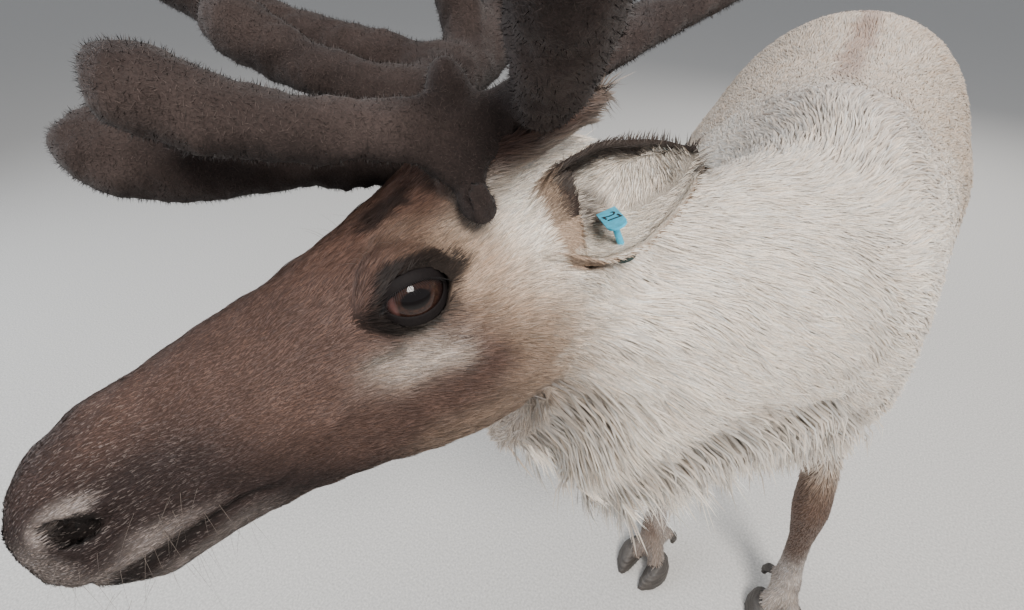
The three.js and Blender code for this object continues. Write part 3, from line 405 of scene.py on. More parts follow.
@dataclass(frozen=True)
class Animal:
    """Where each part of the animal lies, how its coat is coloured, how long it is and which way it goes."""

    tones: Tones = field(default_factory=Tones)
    head_plane: float = -0.125
    head_slant: float = 0.5
    leg_top: float = 0.52

    def body(self, points: Array) -> Array:
        """Give places in the body's own frame, from the ground under the withers."""
        return points - HEAD.shift

    def behind_head(self, points: Array) -> Array:
        """Give how far each place is ahead of the cut behind the head."""
        local = HEAD.local(points)
        return local[:, 1] + self.head_slant * local[:, 2] - self.head_plane

    def on_head(self, points: Array) -> Array:
        """Give 1 on the head and 0 on the neck."""
        front = smooth(self.body(points)[:, 1], -0.30, -0.36)
        return smooth(self.behind_head(points) + 0.006 * ripples(points, 0.03, 17), -0.055, 0.035) * front

    def on_ear(self, points: Array) -> Array:
        """Give 1 on the ears."""
        best = np.zeros(len(points))
        for ear in EARS:
            share, _, distance, radius = ear.locate(points, HEAD)
            inside = smooth(share, 0.10, 0.20) * smooth(distance - radius, 0.004, 0.0015) * (share < 1.1)
            best = np.maximum(best, inside)
        return best

    def near_ear(self, points: Array) -> Array:
        """Give 1 close round the ears, where the neighbouring coat is short."""
        best = np.zeros(len(points))
        for ear in EARS:
            share, _, distance, radius = ear.locate(points, HEAD)
            beside = smooth(distance - radius, 0.030, 0.006) * smooth(share, -0.2, 0.0)
            best = np.maximum(best, beside * smooth(share, 1.2, 1.02))
        return best

    def in_ear(self, points: Array) -> Array:
        """Give 1 on the hollow side of the ears."""
        best = np.zeros(len(points))
        for ear in EARS:
            share, angle, distance, radius = ear.locate(points, HEAD)
            within = smooth(distance - radius, -0.0015, -0.0028) * (np.abs(angle) < 1.9)
            best = np.maximum(best, within * (share > 0.05) * (share < 1.05))
        return best

    def on_leg(self, points: Array) -> Array:
        """Give 1 on the legs, from the elbow and the stifle down."""
        return smooth(points[:, 2], self.leg_top, 0.41)

    def on_neck(self, points: Array) -> Array:
        """Give 1 on the neck and the front of the chest."""
        front = smooth(self.body(points)[:, 1], -0.12, -0.24)
        return front * (1 - self.on_head(points)) * (1 - self.on_leg(points))

    def on_mane(self, points: Array, normals: Array) -> Array:
        """Give 1 where the long hair of the throat is rooted."""
        y = self.body(points)[:, 1]
        under = smooth(normals[:, 2], -0.05, -0.5)
        height = smooth(points[:, 2], 0.44, 0.52) * smooth(points[:, 2], 0.84, 0.78)
        return under * smooth(y, -0.16, -0.24) * (1 - self.on_head(points)) * height

    def frost(self, points: Array) -> Array:
        """Give 1 on the muzzle, where single pale hairs stand among dark ones."""
        local = HEAD.local(points)
        return smooth(local[:, 1], 0.10, 0.20) * self.on_head(points)

    def lie(self, points: Array, normals: Array) -> Array:
        """Give the direction of the coat along the surface."""
        place = self.body(points)
        side = np.clip(np.abs(normals[:, 0]), 0, 1)[:, None]
        flow = np.array((0.0, 1.0, -0.12)) + side * np.array((0.0, 0.0, -0.42))
        chest = np.array((0.5, 0.72, -0.62))
        flow = blend(flow, chest[None, :], self.on_neck(points))
        flow = blend(flow, np.array(((0.0, 0.16, -1.0),)), self.on_leg(points))
        local = HEAD.local(points)
        back = np.stack([HEAD.way(0, -1, -0.04)] * len(points))
        cheek = np.stack([HEAD.way(0, -0.75, -0.65)] * len(points))
        low = smooth(local[:, 1], 0.05, -0.06) * smooth(local[:, 2], 0.0, -0.07)
        flow = blend(flow, blend(back, cheek, low), self.on_head(points))
        around = local[:, 1] ** 2 + (local[:, 2] - 0.006) ** 2
        ring = np.exp(-around / 0.0009)
        flat = np.eye(3) - np.outer(HEAD.way(1, 0, 0), HEAD.way(1, 0, 0))
        away = unit((points - HEAD.world(0, 0, HEAD.eye_up)) @ flat)
        flow = blend(flow, away, 0.5 * ring * self.on_head(points))
        for ear in EARS:
            _, axis, _, across = ear.axes(HEAD)
            share, angle, _, _ = ear.locate(points, HEAD)
            fan = axis + across * (0.7 * np.sin(angle) * np.sign(ear.root[0]))[:, None]
            flow = blend(flow, fan, self.on_ear(points) * (share > 0) * (share < 1.1))
        sway = ripples(place, 0.16, 11)[:, None] * np.cross(normals, flow) * 0.16
        sway += ripples(place, 0.035, 12)[:, None] * np.cross(normals, flow) * 0.12
        flow = flow + sway
        flow = flow - normals * np.einsum("ij,ij->i", flow, normals)[:, None]
        return unit(flow)

    def length(self, points: Array, normals: Array) -> Array:
        """Give the length of the coat, in metres."""
        place = self.body(points)
        local = HEAD.local(points)
        length = np.full(len(points), 0.030)
        length += 0.016 * smooth(normals[:, 2], -0.2, -0.9)
        length += (0.030 - length) * self.on_neck(points)
        leg = 0.008 + 0.020 * smooth(points[:, 2], 0.36, 0.50)
        leg += 0.004 * smooth(points[:, 2], 0.12, 0.06)
        length += (leg - length) * self.on_leg(points)
        face = 0.0042 + 0.005 * smooth(local[:, 1], 0.12, 0.0) + 0.010 * smooth(local[:, 1], -0.02, -0.11)
        face -= 0.007 * smooth(local[:, 2], 0.02, 0.05) * smooth(local[:, 1], -0.02, -0.08)
        length += (face - length) * self.on_head(points)
        length += (np.minimum(length, 0.009) - length) * self.near_ear(points)
        length += (0.0056 - length) * self.on_ear(points)
        tail = smooth(place[:, 1], 0.96, 0.99)
        return length * (1 - 0.35 * tail)

    def depth(self, points: Array, normals: Array) -> Array:
        """Give how far the skin lies inside the solids."""
        length = self.length(points, normals)
        depth = 0.30 * length
        depth += (0.0016 - depth) * self.on_head(points) * smooth(HEAD.local(points)[:, 1], -0.04, 0.04)
        depth += (0.0004 - depth) * self.on_ear(points)
        return depth

    def tone(self, points: Array, normals: Array) -> Array:
        """Give the colour of the coat at each place."""
        t = self.tones
        place = self.body(points)
        rough = ripples(place, 0.09, 21)
        fine = ripples(place, 0.022, 22)
        z = points[:, 2]
        y = place[:, 1]
        colour = np.tile(np.array(t.cream), (len(points), 1))
        colour = blend(colour, t.beige, smooth(y + 0.04 * rough, 0.02, 0.28) * (0.82 + 0.2 * fine))
        colour = blend(colour, t.rump, smooth(y + 0.05 * rough, 0.52, 0.86) * smooth(z, 0.55, 0.85) * 0.8)
        saddle = hill((y - 0.02, 0.17)) * smooth(np.abs(place[:, 0]) + 0.02 * rough, 0.20, 0.06)
        colour = blend(colour, t.ticking, saddle * smooth(z, 0.84, 0.94) * 0.75 * (0.75 + 0.5 * fine))
        spine = smooth(np.abs(place[:, 0] + 0.006 * rough), 0.034, 0.010) * smooth(normals[:, 2], 0.5, 0.85)
        colour = blend(colour, t.stripe, spine * smooth(y, 0.18, 0.36) * 0.72)
        colour = blend(colour, t.white, smooth(normals[:, 2], -0.25, -0.8) * 0.7)
        mottled = smooth(rough + 0.5 * fine, 0.35, 0.9)
        colour = blend(colour, t.rump, 0.22 * mottled * smooth(y, -0.1, 0.1))
        tail = smooth(y, 0.985, 1.0)
        colour = blend(colour, t.cream, tail * smooth(rough, 0.8, -0.4) * 0.8)
        leg = self.on_leg(points)
        patch = smooth(ripples(points * np.array((1, 1, 0.45)), 0.14, 31) + 0.12 * rough, -0.35, 0.75)
        limb = np.tile(np.array(t.leg), (len(points), 1))
        limb = blend(limb, t.white, patch * (0.42 + 0.12 * smooth(fine, -0.6, 0.8)))
        limb = blend(limb, t.leg_grey, smooth(z, 0.13, 0.07) * 0.6)
        limb = blend(limb, t.fawn, smooth(z, 0.36, 0.47) * 0.7)
        colour = blend(colour, limb, leg)
        colour = blend(colour, self.face_tone(points, normals), self.on_head(points))
        colour = blend(colour, self.ear_tone(points, normals), self.on_ear(points))
        return np.clip(colour * (1 + 0.07 * fine + 0.05 * rough)[:, None], 0.004, 0.95)

    @staticmethod
    def from_nostril(local: Array) -> Array:
        """Give how far each place of the head's frame is from the nostril, seen from the side."""
        return np.sqrt((local[:, 1] - HEAD.nostril[0]) ** 2 + ((local[:, 2] - HEAD.nostril[1]) * 1.25) ** 2)

    def face_tone(self, points: Array, normals: Array) -> Array:
        """Give the colour of the face, which is brown and turns cream behind the jaw."""
        t = self.tones
        local = HEAD.local(points)
        rough = ripples(local, 0.05, 41)
        fine = ripples(local, 0.014, 42)
        out, ahead, up = np.abs(local[:, 0]), local[:, 1] + 0.006 * rough, local[:, 2] + 0.004 * rough
        colour = np.tile(np.array(t.face), (len(points), 1))
        brow = smooth(up, 0.015, 0.05) * smooth(ahead, 0.08, 0.0) * smooth(ahead, -0.07, -0.03)
        colour = blend(colour, t.brow, brow * 0.7)
        pale = smooth(ahead - 0.45 * (up + 0.02), 0.0, -0.062)
        colour = blend(colour, t.fawn, pale * smooth(up, 0.05, 0.0))
        colour = blend(colour, t.cream, smooth(ahead - 0.3 * up, -0.036, -0.092) * smooth(up, 0.055, 0.02))
        jaw = smooth(up + 0.3 * ahead, -0.055, -0.125) * smooth(ahead, 0.15, 0.03)
        colour = blend(colour, t.fawn, jaw * 0.6)
        dark = smooth(ahead - 0.6 * up, 0.105, 0.165) * smooth(up, 0.024, -0.006) * smooth(out, 0.012, 0.030)
        colour = blend(colour, t.muzzle_dark, dark * 0.88)
        colour = blend(colour, t.muzzle_dark, smooth(ahead, 0.165, 0.20) * 0.5)
        nostril = self.from_nostril(local)
        ring = smooth(nostril, 0.024, 0.016) * smooth(nostril, 0.0085, 0.0120) * smooth(out, 0.012, 0.028)
        level = HEAD.nostril[1]
        ring = ring * smooth(up + 0.25 * (ahead - HEAD.nostril[0]), level - 0.003, level + 0.006)
        colour = blend(colour, t.nose_grey, ring * (0.55 + 0.2 * fine))
        colour = blend(colour, t.nose_grey, smooth(ahead, 0.206, 0.236) * smooth(up, 0.004, -0.016) * 0.55)
        lip = hill((up - HEAD.mouth_up - 0.010, 0.006)) * smooth(ahead, 0.145, 0.18)
        colour = blend(colour, t.nose_grey, lip * 0.45)
        # dark lip edge, with painted shade along the crease of the mouth
        mouth = hill((up - HEAD.mouth_up, 0.004)) * smooth(ahead, 0.12, 0.145)
        colour = blend(colour, t.black, mouth * 0.9)
        chin = smooth(up, HEAD.mouth_up - 0.004, HEAD.mouth_up - 0.016) * smooth(ahead, 0.12, 0.17)
        colour = blend(colour, t.nose_grey, chin * 0.5)
        # painted shade: black inside and round the nostril stands in for the shade of its opening
        colour = blend(colour, t.black, smooth(nostril, 0.0125, 0.0095) * smooth(out, 0.026, 0.036))
        eye = ahead ** 2 / 0.031 ** 2 + (up - HEAD.eye_up) ** 2 / 0.0225 ** 2
        colour = blend(colour, t.black, smooth(eye, 1.25, 0.85) * smooth(out, 0.03, 0.05) * 0.95)
        tear = hill((up + 0.016 + 0.35 * (ahead - 0.03), 0.0035))
        tear *= smooth(ahead, 0.018, 0.026) * smooth(ahead, 0.052, 0.038) * smooth(out, 0.03, 0.045)
        colour = blend(colour, t.black, tear * 0.8)
        under = hill((ahead - 0.019, 0.026), (up + 0.029, 0.013))
        colour = blend(colour, t.cream, under * smooth(out, 0.03, 0.05) * 0.36)
        spot = hill((out - 0.021, 0.012), (ahead + 0.006, 0.030)) * smooth(up, 0.02, 0.036)
        colour = blend(colour, t.black, smooth(spot + 0.12 * fine, 0.35, 0.75) * 0.85)
        return colour

    def ear_tone(self, points: Array, normals: Array) -> Array:
        """Give the colour of the ears: cream within, grey-brown without, with a dark front edge and painted
        shade in the middle of the hollow.
        """
        t = self.tones
        colour = np.tile(np.array(t.fawn), (len(points), 1))
        colour = blend(colour, t.cream, self.in_ear(points))
        fine = ripples(points, 0.012, 45)
        for ear in EARS:
            share, angle, distance, _ = ear.locate(points, HEAD)
            here = (share > 0) * (share < 1.1) * (distance < 0.05)
            top = smooth(angle + 0.12 * fine, -0.75, -1.25) * smooth(share, 0.16, 0.32)
            outside = 0.75 * smooth(angle, 0.2, -0.5) * (1 - self.in_ear(points))
            dark = np.maximum(top, outside) * here
            colour = blend(colour, t.muzzle_dark, np.clip(dark, 0, 1) * 0.95)
            colour = blend(colour, t.muzzle_dark, smooth(share + 0.02 * fine, 0.93, 0.98) * here * 0.8)
            # painted shade: the middle of the ear's hollow is darkened towards near-black, where shade falls
            hollow = np.exp(-(((share - 0.42) / 0.11) ** 2) - ((angle + 0.1) / 0.55) ** 2) * self.in_ear(points)
            colour = blend(colour, t.muzzle_dark, np.clip(hollow * (1 + 0.4 * fine), 0, 1) * here * 0.9)
            root = smooth(share + 0.03 * fine, 0.34, 0.16) * here
            colour = blend(colour, t.fawn, root * 0.7)
        return colour


ANIMAL = Animal()


class Value:
    """A socket of a material that can be used in sums."""

    def __init__(self, finish: "Nodes", socket: bpy.types.NodeSocket) -> None:
        """Keep the socket and the material that it is in."""
        self.finish = finish
        self.socket = socket

    def _maths(self, operation: str, *terms: Any) -> "Value":
        """Add a Math node over some terms."""
        return self.finish.add("ShaderNodeMath", {"operation": operation}, dict(enumerate(terms)))

    def __add__(self, other: Any) -> "Value":
        """Add."""
        return self._maths("ADD", self, other)

    def __radd__(self, other: Any) -> "Value":
        """Add, from the right."""
        return self._maths("ADD", other, self)

    def __sub__(self, other: Any) -> "Value":
        """Subtract."""
        return self._maths("SUBTRACT", self, other)

    def __rsub__(self, other: Any) -> "Value":
        """Subtract, from the right."""
        return self._maths("SUBTRACT", other, self)

    def __mul__(self, other: Any) -> "Value":
        """Multiply."""
        return self._maths("MULTIPLY", self, other)

    def __rmul__(self, other: Any) -> "Value":
        """Multiply, from the right."""
        return self._maths("MULTIPLY", other, self)

    def __pow__(self, other: Any) -> "Value":
        """Raise to a power."""
        return self._maths("POWER", self, other)


class Nodes:
    """One material and the nodes that are added to it."""

    def __init__(self, name: str, **constants: Any) -> None:
        """Start a material whose shader has some constant settings."""
        self.material = bpy.data.materials.new(name)
        self.material.use_nodes = True
        self.tree = self.material.node_tree
        self.shader = self.tree.nodes["Principled BSDF"]
        for socket, value in constants.items():
            self.shader.inputs[socket.replace("_", " ")].default_value = value

    def add(
        self, kind: str, settings: dict | None = None, inputs: dict | None = None, output: Any = 0
    ) -> Value:
        """Add one node.

        Args:
            kind: The node's type.
            settings: Its settings, or a ramp's stops under "stops".
            inputs: Values or links, by the socket's name or number.
            output: The name or number of the socket to give back.

        Returns:
            The output socket.
        """
        node = self.tree.nodes.new(kind)
        for key, value in (settings or {}).items():
            if key == "stops":
                self._stops(node, value)
            else:
                setattr(node, key, value)
        for key, value in (inputs or {}).items():
            if isinstance(value, Value):
                self.tree.links.new(value.socket, node.inputs[key])
            else:
                node.inputs[key].default_value = value
        return Value(self, node.outputs[output])

    @staticmethod
    def _stops(node: bpy.types.Node, stops: Sequence[tuple[float, tuple]]) -> None:
        """Set the stops of a ramp."""
        ramp = node.color_ramp
        while len(ramp.elements) < len(stops):
            ramp.elements.new(0.5)
        for element, (place, colour) in zip(ramp.elements, stops):
            element.position = place
            element.color = (*colour, 1.0)

    def object_place(self, stretch: tuple = (1.0, 1.0, 1.0)) -> Value:
        """Give the place on the object, stretched along its axes."""
        place = self.add("ShaderNodeTexCoord", output="Object")
        return self.add("ShaderNodeMapping", inputs={"Vector": place, "Scale": stretch})

    def noise(self, scale: float, detail: float = 3.0, place: Value | None = None) -> Value:
        """Give soft noise from 0 to 1."""
        where = place or self.object_place()
        inputs = {"Vector": where, "Scale": scale, "Detail": detail, "Roughness": 0.6}
        return self.add("ShaderNodeTexNoise", inputs=inputs)

    def scaled(self, value: Value, factor: float, offset: float) -> Value:
        """Multiply a value and add to it."""
        return self.add("ShaderNodeMath", {"operation": "MULTIPLY_ADD"}, {0: value, 1: factor, 2: offset})

    def ramp(self, value: Value, *stops: tuple[float, tuple]) -> Value:
        """Turn a value into a colour by stops."""
        return self.add("ShaderNodeValToRGB", {"stops": stops}, {"Fac": value})

    def mix(self, share: Any, first: Any, second: Any, way: str = "MIX") -> Value:
        """Mix two colours."""
        settings = {"data_type": "RGBA", "blend_type": way}
        colours = [value if isinstance(value, Value) else (*value, 1.0) for value in (first, second)]
        return self.add("ShaderNodeMix", settings, {0: share, 6: colours[0], 7: colours[1]}, 2)

    def bump(self, height: Value, distance: float, strength: float = 1.0, under: Value | None = None) -> Value:
        """Give a normal from a height."""
        inputs = {"Height": height, "Distance": distance, "Strength": strength}
        if under is not None:
            inputs["Normal"] = under
        return self.add("ShaderNodeBump", inputs=inputs)

    def finish(self, **links: Value) -> bpy.types.Material:
        """Feed the shader's sockets and give the material."""
        for socket, value in links.items():
            self.tree.links.new(value.socket, self.shader.inputs[socket.replace("_", " ")])
        return self.material


@dataclass(frozen=True)
class CoatFinish:
    """Hair: the colour comes with each tuft, with fine streaks and a soft gloss."""

    name: str
    roughness: float = 0.62
    streaks: float = 900.0
    sheen: float = 0.05
    shine: float = 0.22

    def build(self) -> bpy.types.Material:
        """Make the material."""
        nodes = Nodes(self.name, Sheen_Weight=self.sheen, Sheen_Roughness=0.5, Specular_IOR_Level=self.shine)
        tone = nodes.add("ShaderNodeAttribute", {"attribute_name": "Tone"}, output="Color")
        streak = nodes.noise(self.streaks, 2.0)
        shade = nodes.ramp(streak, (0.25, (0.80, 0.78, 0.77)), (0.75, (1.12, 1.10, 1.08)))
        colour = nodes.mix(1.0, tone, shade, "MULTIPLY")
        rough = nodes.scaled(streak, 0.16, self.roughness - 0.08)
        return nodes.finish(Base_Color=colour, Roughness=rough)


@dataclass(frozen=True)
class SkinFinish:
    """Skin under the coat: the coat's markings, with short hair as fine bump."""

    name: str = "skin_under_coat"

    def build(self) -> bpy.types.Material:
        """Make the material."""
        nodes = Nodes(self.name, Specular_IOR_Level=0.12)
        tone = nodes.add("ShaderNodeAttribute", {"attribute_name": "Tone"}, output="Color")
        hair = nodes.noise(1400.0, 2.0, nodes.object_place((1.0, 0.35, 0.6)))
        shade = nodes.ramp(hair, (0.3, (0.52, 0.49, 0.47)), (0.7, (0.92, 0.90, 0.88)))
        colour = nodes.mix(1.0, tone, shade, "MULTIPLY")
        rough = nodes.scaled(hair, 0.2, 0.68)
        return nodes.finish(Base_Color=colour, Roughness=rough, Normal=nodes.bump(hair, 0.0012, 0.7))


@dataclass(frozen=True)
class VelvetFinish:
    """Velvet of the growing antlers: dense, dark and soft, a little paler on its swellings as a painted
    highlight.
    """

    name: str = "antler_velvet"

    def build(self) -> bpy.types.Material:
        """Make the material."""
        nodes = Nodes(self.name, Sheen_Weight=0.06, Sheen_Roughness=0.45, Specular_IOR_Level=0.2)
        patches = nodes.noise(16.0, 4.0)
        nap = nodes.noise(750.0, 3.0)
        dark, middle, pale = (0.018, 0.0125, 0.0115), (0.034, 0.024, 0.0215), (0.056, 0.041, 0.037)
        # painted highlight and shade: the same noise raises the swellings, paints them paler and paints the
        # parts between them darker
        colour = nodes.ramp(patches, (0.3, dark), (0.55, middle), (0.8, pale))
        shade = nodes.ramp(nap, (0.3, (0.7, 0.68, 0.67)), (0.72, (1.3, 1.28, 1.26)))
        rough = nodes.scaled(nap, 0.15, 0.8)
        lump = nodes.bump(patches, 0.002, 0.5)
        return nodes.finish(
            Base_Color=nodes.mix(1.0, colour, shade, "MULTIPLY"),
            Roughness=rough,
            Normal=nodes.bump(nap, 0.0012, 0.8, lump),
        )


@dataclass(frozen=True)
class HornFinish:
    """Hooves: grey-black horn with growth rings, fine upright cracks and dry, pale streaks along the cracks."""

    name: str = "hoof_horn"

    def build(self) -> bpy.types.Material:
        """Make the material."""
        nodes = Nodes(self.name, Specular_IOR_Level=0.45)
        rings = nodes.noise(60.0, 4.0, nodes.object_place((0.5, 0.5, 5.0)))
        cracks = nodes.noise(160.0, 5.0, nodes.object_place((2.0, 2.0, 0.25)))
        dark, middle, pale = (0.028, 0.024, 0.022), (0.070, 0.062, 0.056), (0.15, 0.135, 0.12)
        colour = nodes.ramp(rings, (0.25, dark), (0.6, middle), (0.85, pale))
        worn = nodes.ramp(cracks, (0.35, (0.72, 0.70, 0.68)), (0.75, (1.25, 1.2, 1.15)))
        rough = nodes.scaled(cracks, 0.35, 0.38)
        ridge = nodes.bump(rings, 0.0012, 0.8)
        return nodes.finish(
            Base_Color=nodes.mix(1.0, colour, worn, "MULTIPLY"),
            Roughness=rough,
            Normal=nodes.bump(cracks, 0.0005, 0.6, ridge),
        )


@dataclass(frozen=True)
class EyeFinish:
    """The eye: a long dark pupil in a brown iris with a painted pinkish reflection on its front part, under a
    wet clear coat.
    """

    name: str
    centre: tuple
    forward: tuple
    outward: tuple

    def _along(self, nodes: Nodes, way: tuple) -> Value:
        """Give how far each place is from the centre along a direction."""
        place = nodes.add("ShaderNodeTexCoord", output="Object")
        spoke = nodes.add("ShaderNodeVectorMath", {"operation": "SUBTRACT"}, {0: place, 1: self.centre})
        return nodes.add("ShaderNodeVectorMath", {"operation": "DOT_PRODUCT"}, {0: spoke, 1: way}, "Value")

    def build(self) -> bpy.types.Material:
        """Make the material."""
        nodes = Nodes(self.name, Coat_Weight=0.42, Coat_Roughness=0.02, Specular_IOR_Level=0.1)
        along = self._along(nodes, self.forward)
        up = tuple(np.cross(self.outward, self.forward))
        across = self._along(nodes, up)
        long = along * (1 / 0.0160)
        high = across * (1 / 0.0135)
        iris = (long * long + high * high) ** 0.5
        slot_long = along * (1 / 0.0098)
        slot_high = across * (1 / 0.0062)
        pupil = (slot_long * slot_long + slot_high * slot_high) ** 0.5
        threads = nodes.noise(420.0, 3.0)
        brown = nodes.ramp(threads, (0.3, (0.012, 0.006, 0.005)), (0.7, (0.034, 0.016, 0.011)))
        # painted reflection: the front part of the iris is mixed towards a pinkish brown
        front = nodes.ramp(along * 40.0, (0.42, (0.0, 0.0, 0.0)), (0.50, (1.0, 1.0, 1.0)))
        brown = nodes.mix(front, brown, (0.085, 0.040, 0.036))
        white = nodes.ramp(iris, (0.86, (1, 1, 1)), (1.0, (0, 0, 0)))
        colour = nodes.mix(white, (0.018, 0.010, 0.009), brown)
        core = nodes.ramp(pupil, (0.82, (0, 0, 0)), (1.0, (1, 1, 1)))
        colour = nodes.mix(core, (0.004, 0.003, 0.003), colour)
        rough = nodes.scaled(threads, 0.1, 0.08)
        return nodes.finish(Base_Color=colour, Roughness=rough)


@dataclass(frozen=True)
class PlainFinish:
    """A small made or bare surface: one colour with fine unevenness, and its gloss."""

    name: str
    colour: tuple
    roughness: float
    grain: float = 300.0
    depth: float = 0.0002
    coat: float = 0.0
    shine: float = 0.4

    def build(self) -> bpy.types.Material:
        """Make the material."""
        nodes = Nodes(self.name, Coat_Weight=self.coat, Coat_Roughness=0.15, Specular_IOR_Level=self.shine)
        grain = nodes.noise(self.grain, 4.0)
        dark = tuple(0.72 * part for part in self.colour)
        light = tuple(min(1.0, 1.18 * part) for part in self.colour)
        colour = nodes.ramp(grain, (0.3, dark), (0.7, light))
        rough = nodes.scaled(grain, 0.2, self.roughness - 0.1)
        return nodes.finish(Base_Color=colour, Roughness=rough, Normal=nodes.bump(grain, self.depth, 0.6))


def dress(piece: bpy.types.Object, material: bpy.types.Material) -> bpy.types.Object:
    """Give a piece its finish and the body that it rides on."""
    piece.data.materials.clear()
    piece.data.materials.append(material)
    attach(piece, BODY)
    return piece


def colour_points(piece: bpy.types.Object, colours: Array) -> None:
    """Keep a colour at each corner of a piece, under the name that the finishes read."""
    layer = piece.data.color_attributes.new("Tone", "FLOAT_COLOR", "POINT")
    rows = np.concatenate([colours, np.ones((len(colours), 1))], axis=1)
    layer.data.foreach_set("color", rows.astype(np.float32).ravel())


@dataclass
class Skin:
    """One skin over the whole animal: fine on the head and ears, coarser on the body."""

    head_voxel: float = 0.0028
    body_voxel: float = 0.006
    head_rounds: int = 14
    body_rounds: int = 20
    fill_rounds: int = 160
    crease_rounds: int = 120
    plain_rounds: int = 80
    overlap: float = 0.035
    points: Array = field(default_factory=lambda: np.empty((0, 3)))
    quads: Array = field(default_factory=lambda: np.empty((0, 4), dtype=int))
    normals: Array = field(default_factory=lambda: np.empty((0, 3)))

    def _head(self) -> Surface:
        """Shape the head with its lids, lips and nostrils."""
        surface = Surface(*remeshed(("head", "neck"), self.head_voxel))
        surface.keep(ANIMAL.behind_head(surface.points) > -self.overlap - 0.03)
        local = HEAD.local(surface.points)
        out, ahead, up = np.abs(local[:, 0]), local[:, 1], local[:, 2]
        eye = np.exp(-((ahead / 0.034) ** 4) - (((up - HEAD.eye_up) / 0.026) ** 4)) * smooth(out, 0.03, 0.045)
        nose = np.exp(-(((ahead - HEAD.nostril[0]) / 0.026) ** 4) - (((up - HEAD.nostril[1]) / 0.017) ** 4))
        fine = np.maximum(eye, 0.45 * nose)
        surface.relax(self.head_rounds, 1 - 0.93 * fine)
        surface.relax(2, np.full(len(surface.points), 0.9))
        behind = ANIMAL.behind_head(surface.points)
        band = smooth(behind, -0.068, -0.05) * smooth(behind, 0.055, 0.02)
        band = band * (1 - ANIMAL.near_ear(surface.points))
        surface.fill(self.fill_rounds, band)
        surface.relax(8, band)
        self._lips(surface)
        return surface

    @staticmethod
    def _lips(surface: Surface) -> None:
        """Press in the line of the mouth and the corner of each nostril, and swell the brow and lips."""
        local = HEAD.local(surface.points)
        out, ahead, up = np.abs(local[:, 0]), local[:, 1], local[:, 2]
        normals = surface.normals()
        head = ANIMAL.on_head(surface.points)
        above = up - HEAD.mouth_up - 0.14 * (ahead - 0.17)
        line = hill((above, 0.0028)) * smooth(ahead, 0.12, 0.14)
        upper = hill((above - 0.011, 0.007)) * smooth(ahead, 0.15, 0.20)
        lower = hill((above + 0.011, 0.006)) * smooth(ahead, 0.14, 0.19)
        brow = hill((ahead + 0.002, 0.030), (up - 0.034, 0.009)) * smooth(out, 0.03, 0.05)
        fold = hill((ahead - 0.006, 0.030), (up + 0.027 + 0.3 * ahead, 0.0035))
        fold *= smooth(out, 0.035, 0.05)
        nostril = ANIMAL.from_nostril(local)
        pit = hill((nostril, 0.0075)) * smooth(out, 0.024, 0.032)
        wing = hill((nostril - 0.0145, 0.005)) * smooth(out, 0.02, 0.03)
        push = -0.0015 * pit + 0.0016 * wing - 0.0038 * line + 0.0016 * upper
        push = push + 0.0010 * lower + 0.0030 * brow - 0.0016 * fold
        vein = hill((up + 0.040 + 0.35 * (ahead - 0.08), 0.004)) * smooth(ahead, 0.02, 0.05)
        vein *= smooth(ahead, 0.15, 0.11) * smooth(out, 0.02, 0.04)
        push = push + 0.0011 * vein + 0.0007 * ripples(local, 0.03, 51)
        surface.points = surface.points + normals * (push * head)[:, None]

    def _body(self) -> Surface:
        """Shape the trunk, neck, tail and legs."""
        surface = Surface(*remeshed(FLESH, self.body_voxel))
        foot = smooth(surface.points[:, 2], 0.06, 0.16)
        surface.relax(self.body_rounds, 0.25 + 0.75 * foot)
        place = ANIMAL.body(surface.points)
        height = surface.points[:, 2]
        thigh = smooth(height, 0.36, 0.46) * smooth(height, 0.80, 0.62) * smooth(place[:, 1], 0.42, 0.52)
        elbow = smooth(height, 0.42, 0.48) * smooth(height, 0.66, 0.56) * smooth(place[:, 1], 0.16, 0.06)
        elbow = elbow * smooth(place[:, 1], -0.20, -0.14)
        surface.fill(self.crease_rounds, np.maximum(thigh, 0.8 * elbow))
        normals = surface.normals()
        throat = smooth(place[:, 1], -0.16, -0.26) * (normals[:, 2] < 0.1)
        mane = np.maximum(ANIMAL.on_mane(surface.points, normals), throat)
        tail = smooth(place[:, 1], 0.97, 0.99)
        plain = smooth(height, 0.42, 0.52) * (1 - mane) * (1 - tail) * (1 - ANIMAL.near_ear(surface.points))
        surface.round_off(self.plain_rounds, 0.6 * plain)
        behind = ANIMAL.behind_head(surface.points)
        joint = smooth(behind, -0.12, -0.05) * (1 - ANIMAL.near_ear(surface.points))
        surface.fill(self.fill_rounds // 4, joint)
        surface.keep(behind < -self.overlap + 0.002)
        return surface

    def build(self) -> bpy.types.Object:
        """Make the skin's mesh."""
        parts = [self._head(), self._body()]
        for part in parts:
            normals = part.normals()
            part.points = part.points - normals * ANIMAL.depth(part.points, normals)[:, None]
            part.points = part.points - normals * (0.010 * ANIMAL.on_mane(part.points, normals))[:, None]
        parts += [ear.surface(HEAD) for ear in EARS]
        self.normals = np.concatenate([part.normals() for part in parts])
        self.points = np.concatenate([part.points for part in parts])
        starts = np.cumsum([0] + [len(part.points) for part in parts])
        self.quads = np.concatenate([part.quads + start for part, start in zip(parts, starts)])
        self.points[:, 2] = np.maximum(self.points[:, 2], 0.004)
        skin = make_mesh("skin", self.points, self.quads)
        colour_points(skin, ANIMAL.tone(self.points, self.normals) * 0.92)
        return skin

    def dress(self, skin: bpy.types.Object) -> None:
        """Give the skin its finish in place of the flesh nodes."""
        dress(skin, SkinFinish().build())
        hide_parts(*FLESH, *HEAD_FLESH)


@dataclass(frozen=True)
class Hair:
    """How one region's tufts are drawn."""

    region: Region
    density: float
    width: float
    lift: float
    slot: str
    gravity: float = 0.1
    clump: float = 0.0
    scale: float = 1.0
    contrast: float = 0.16


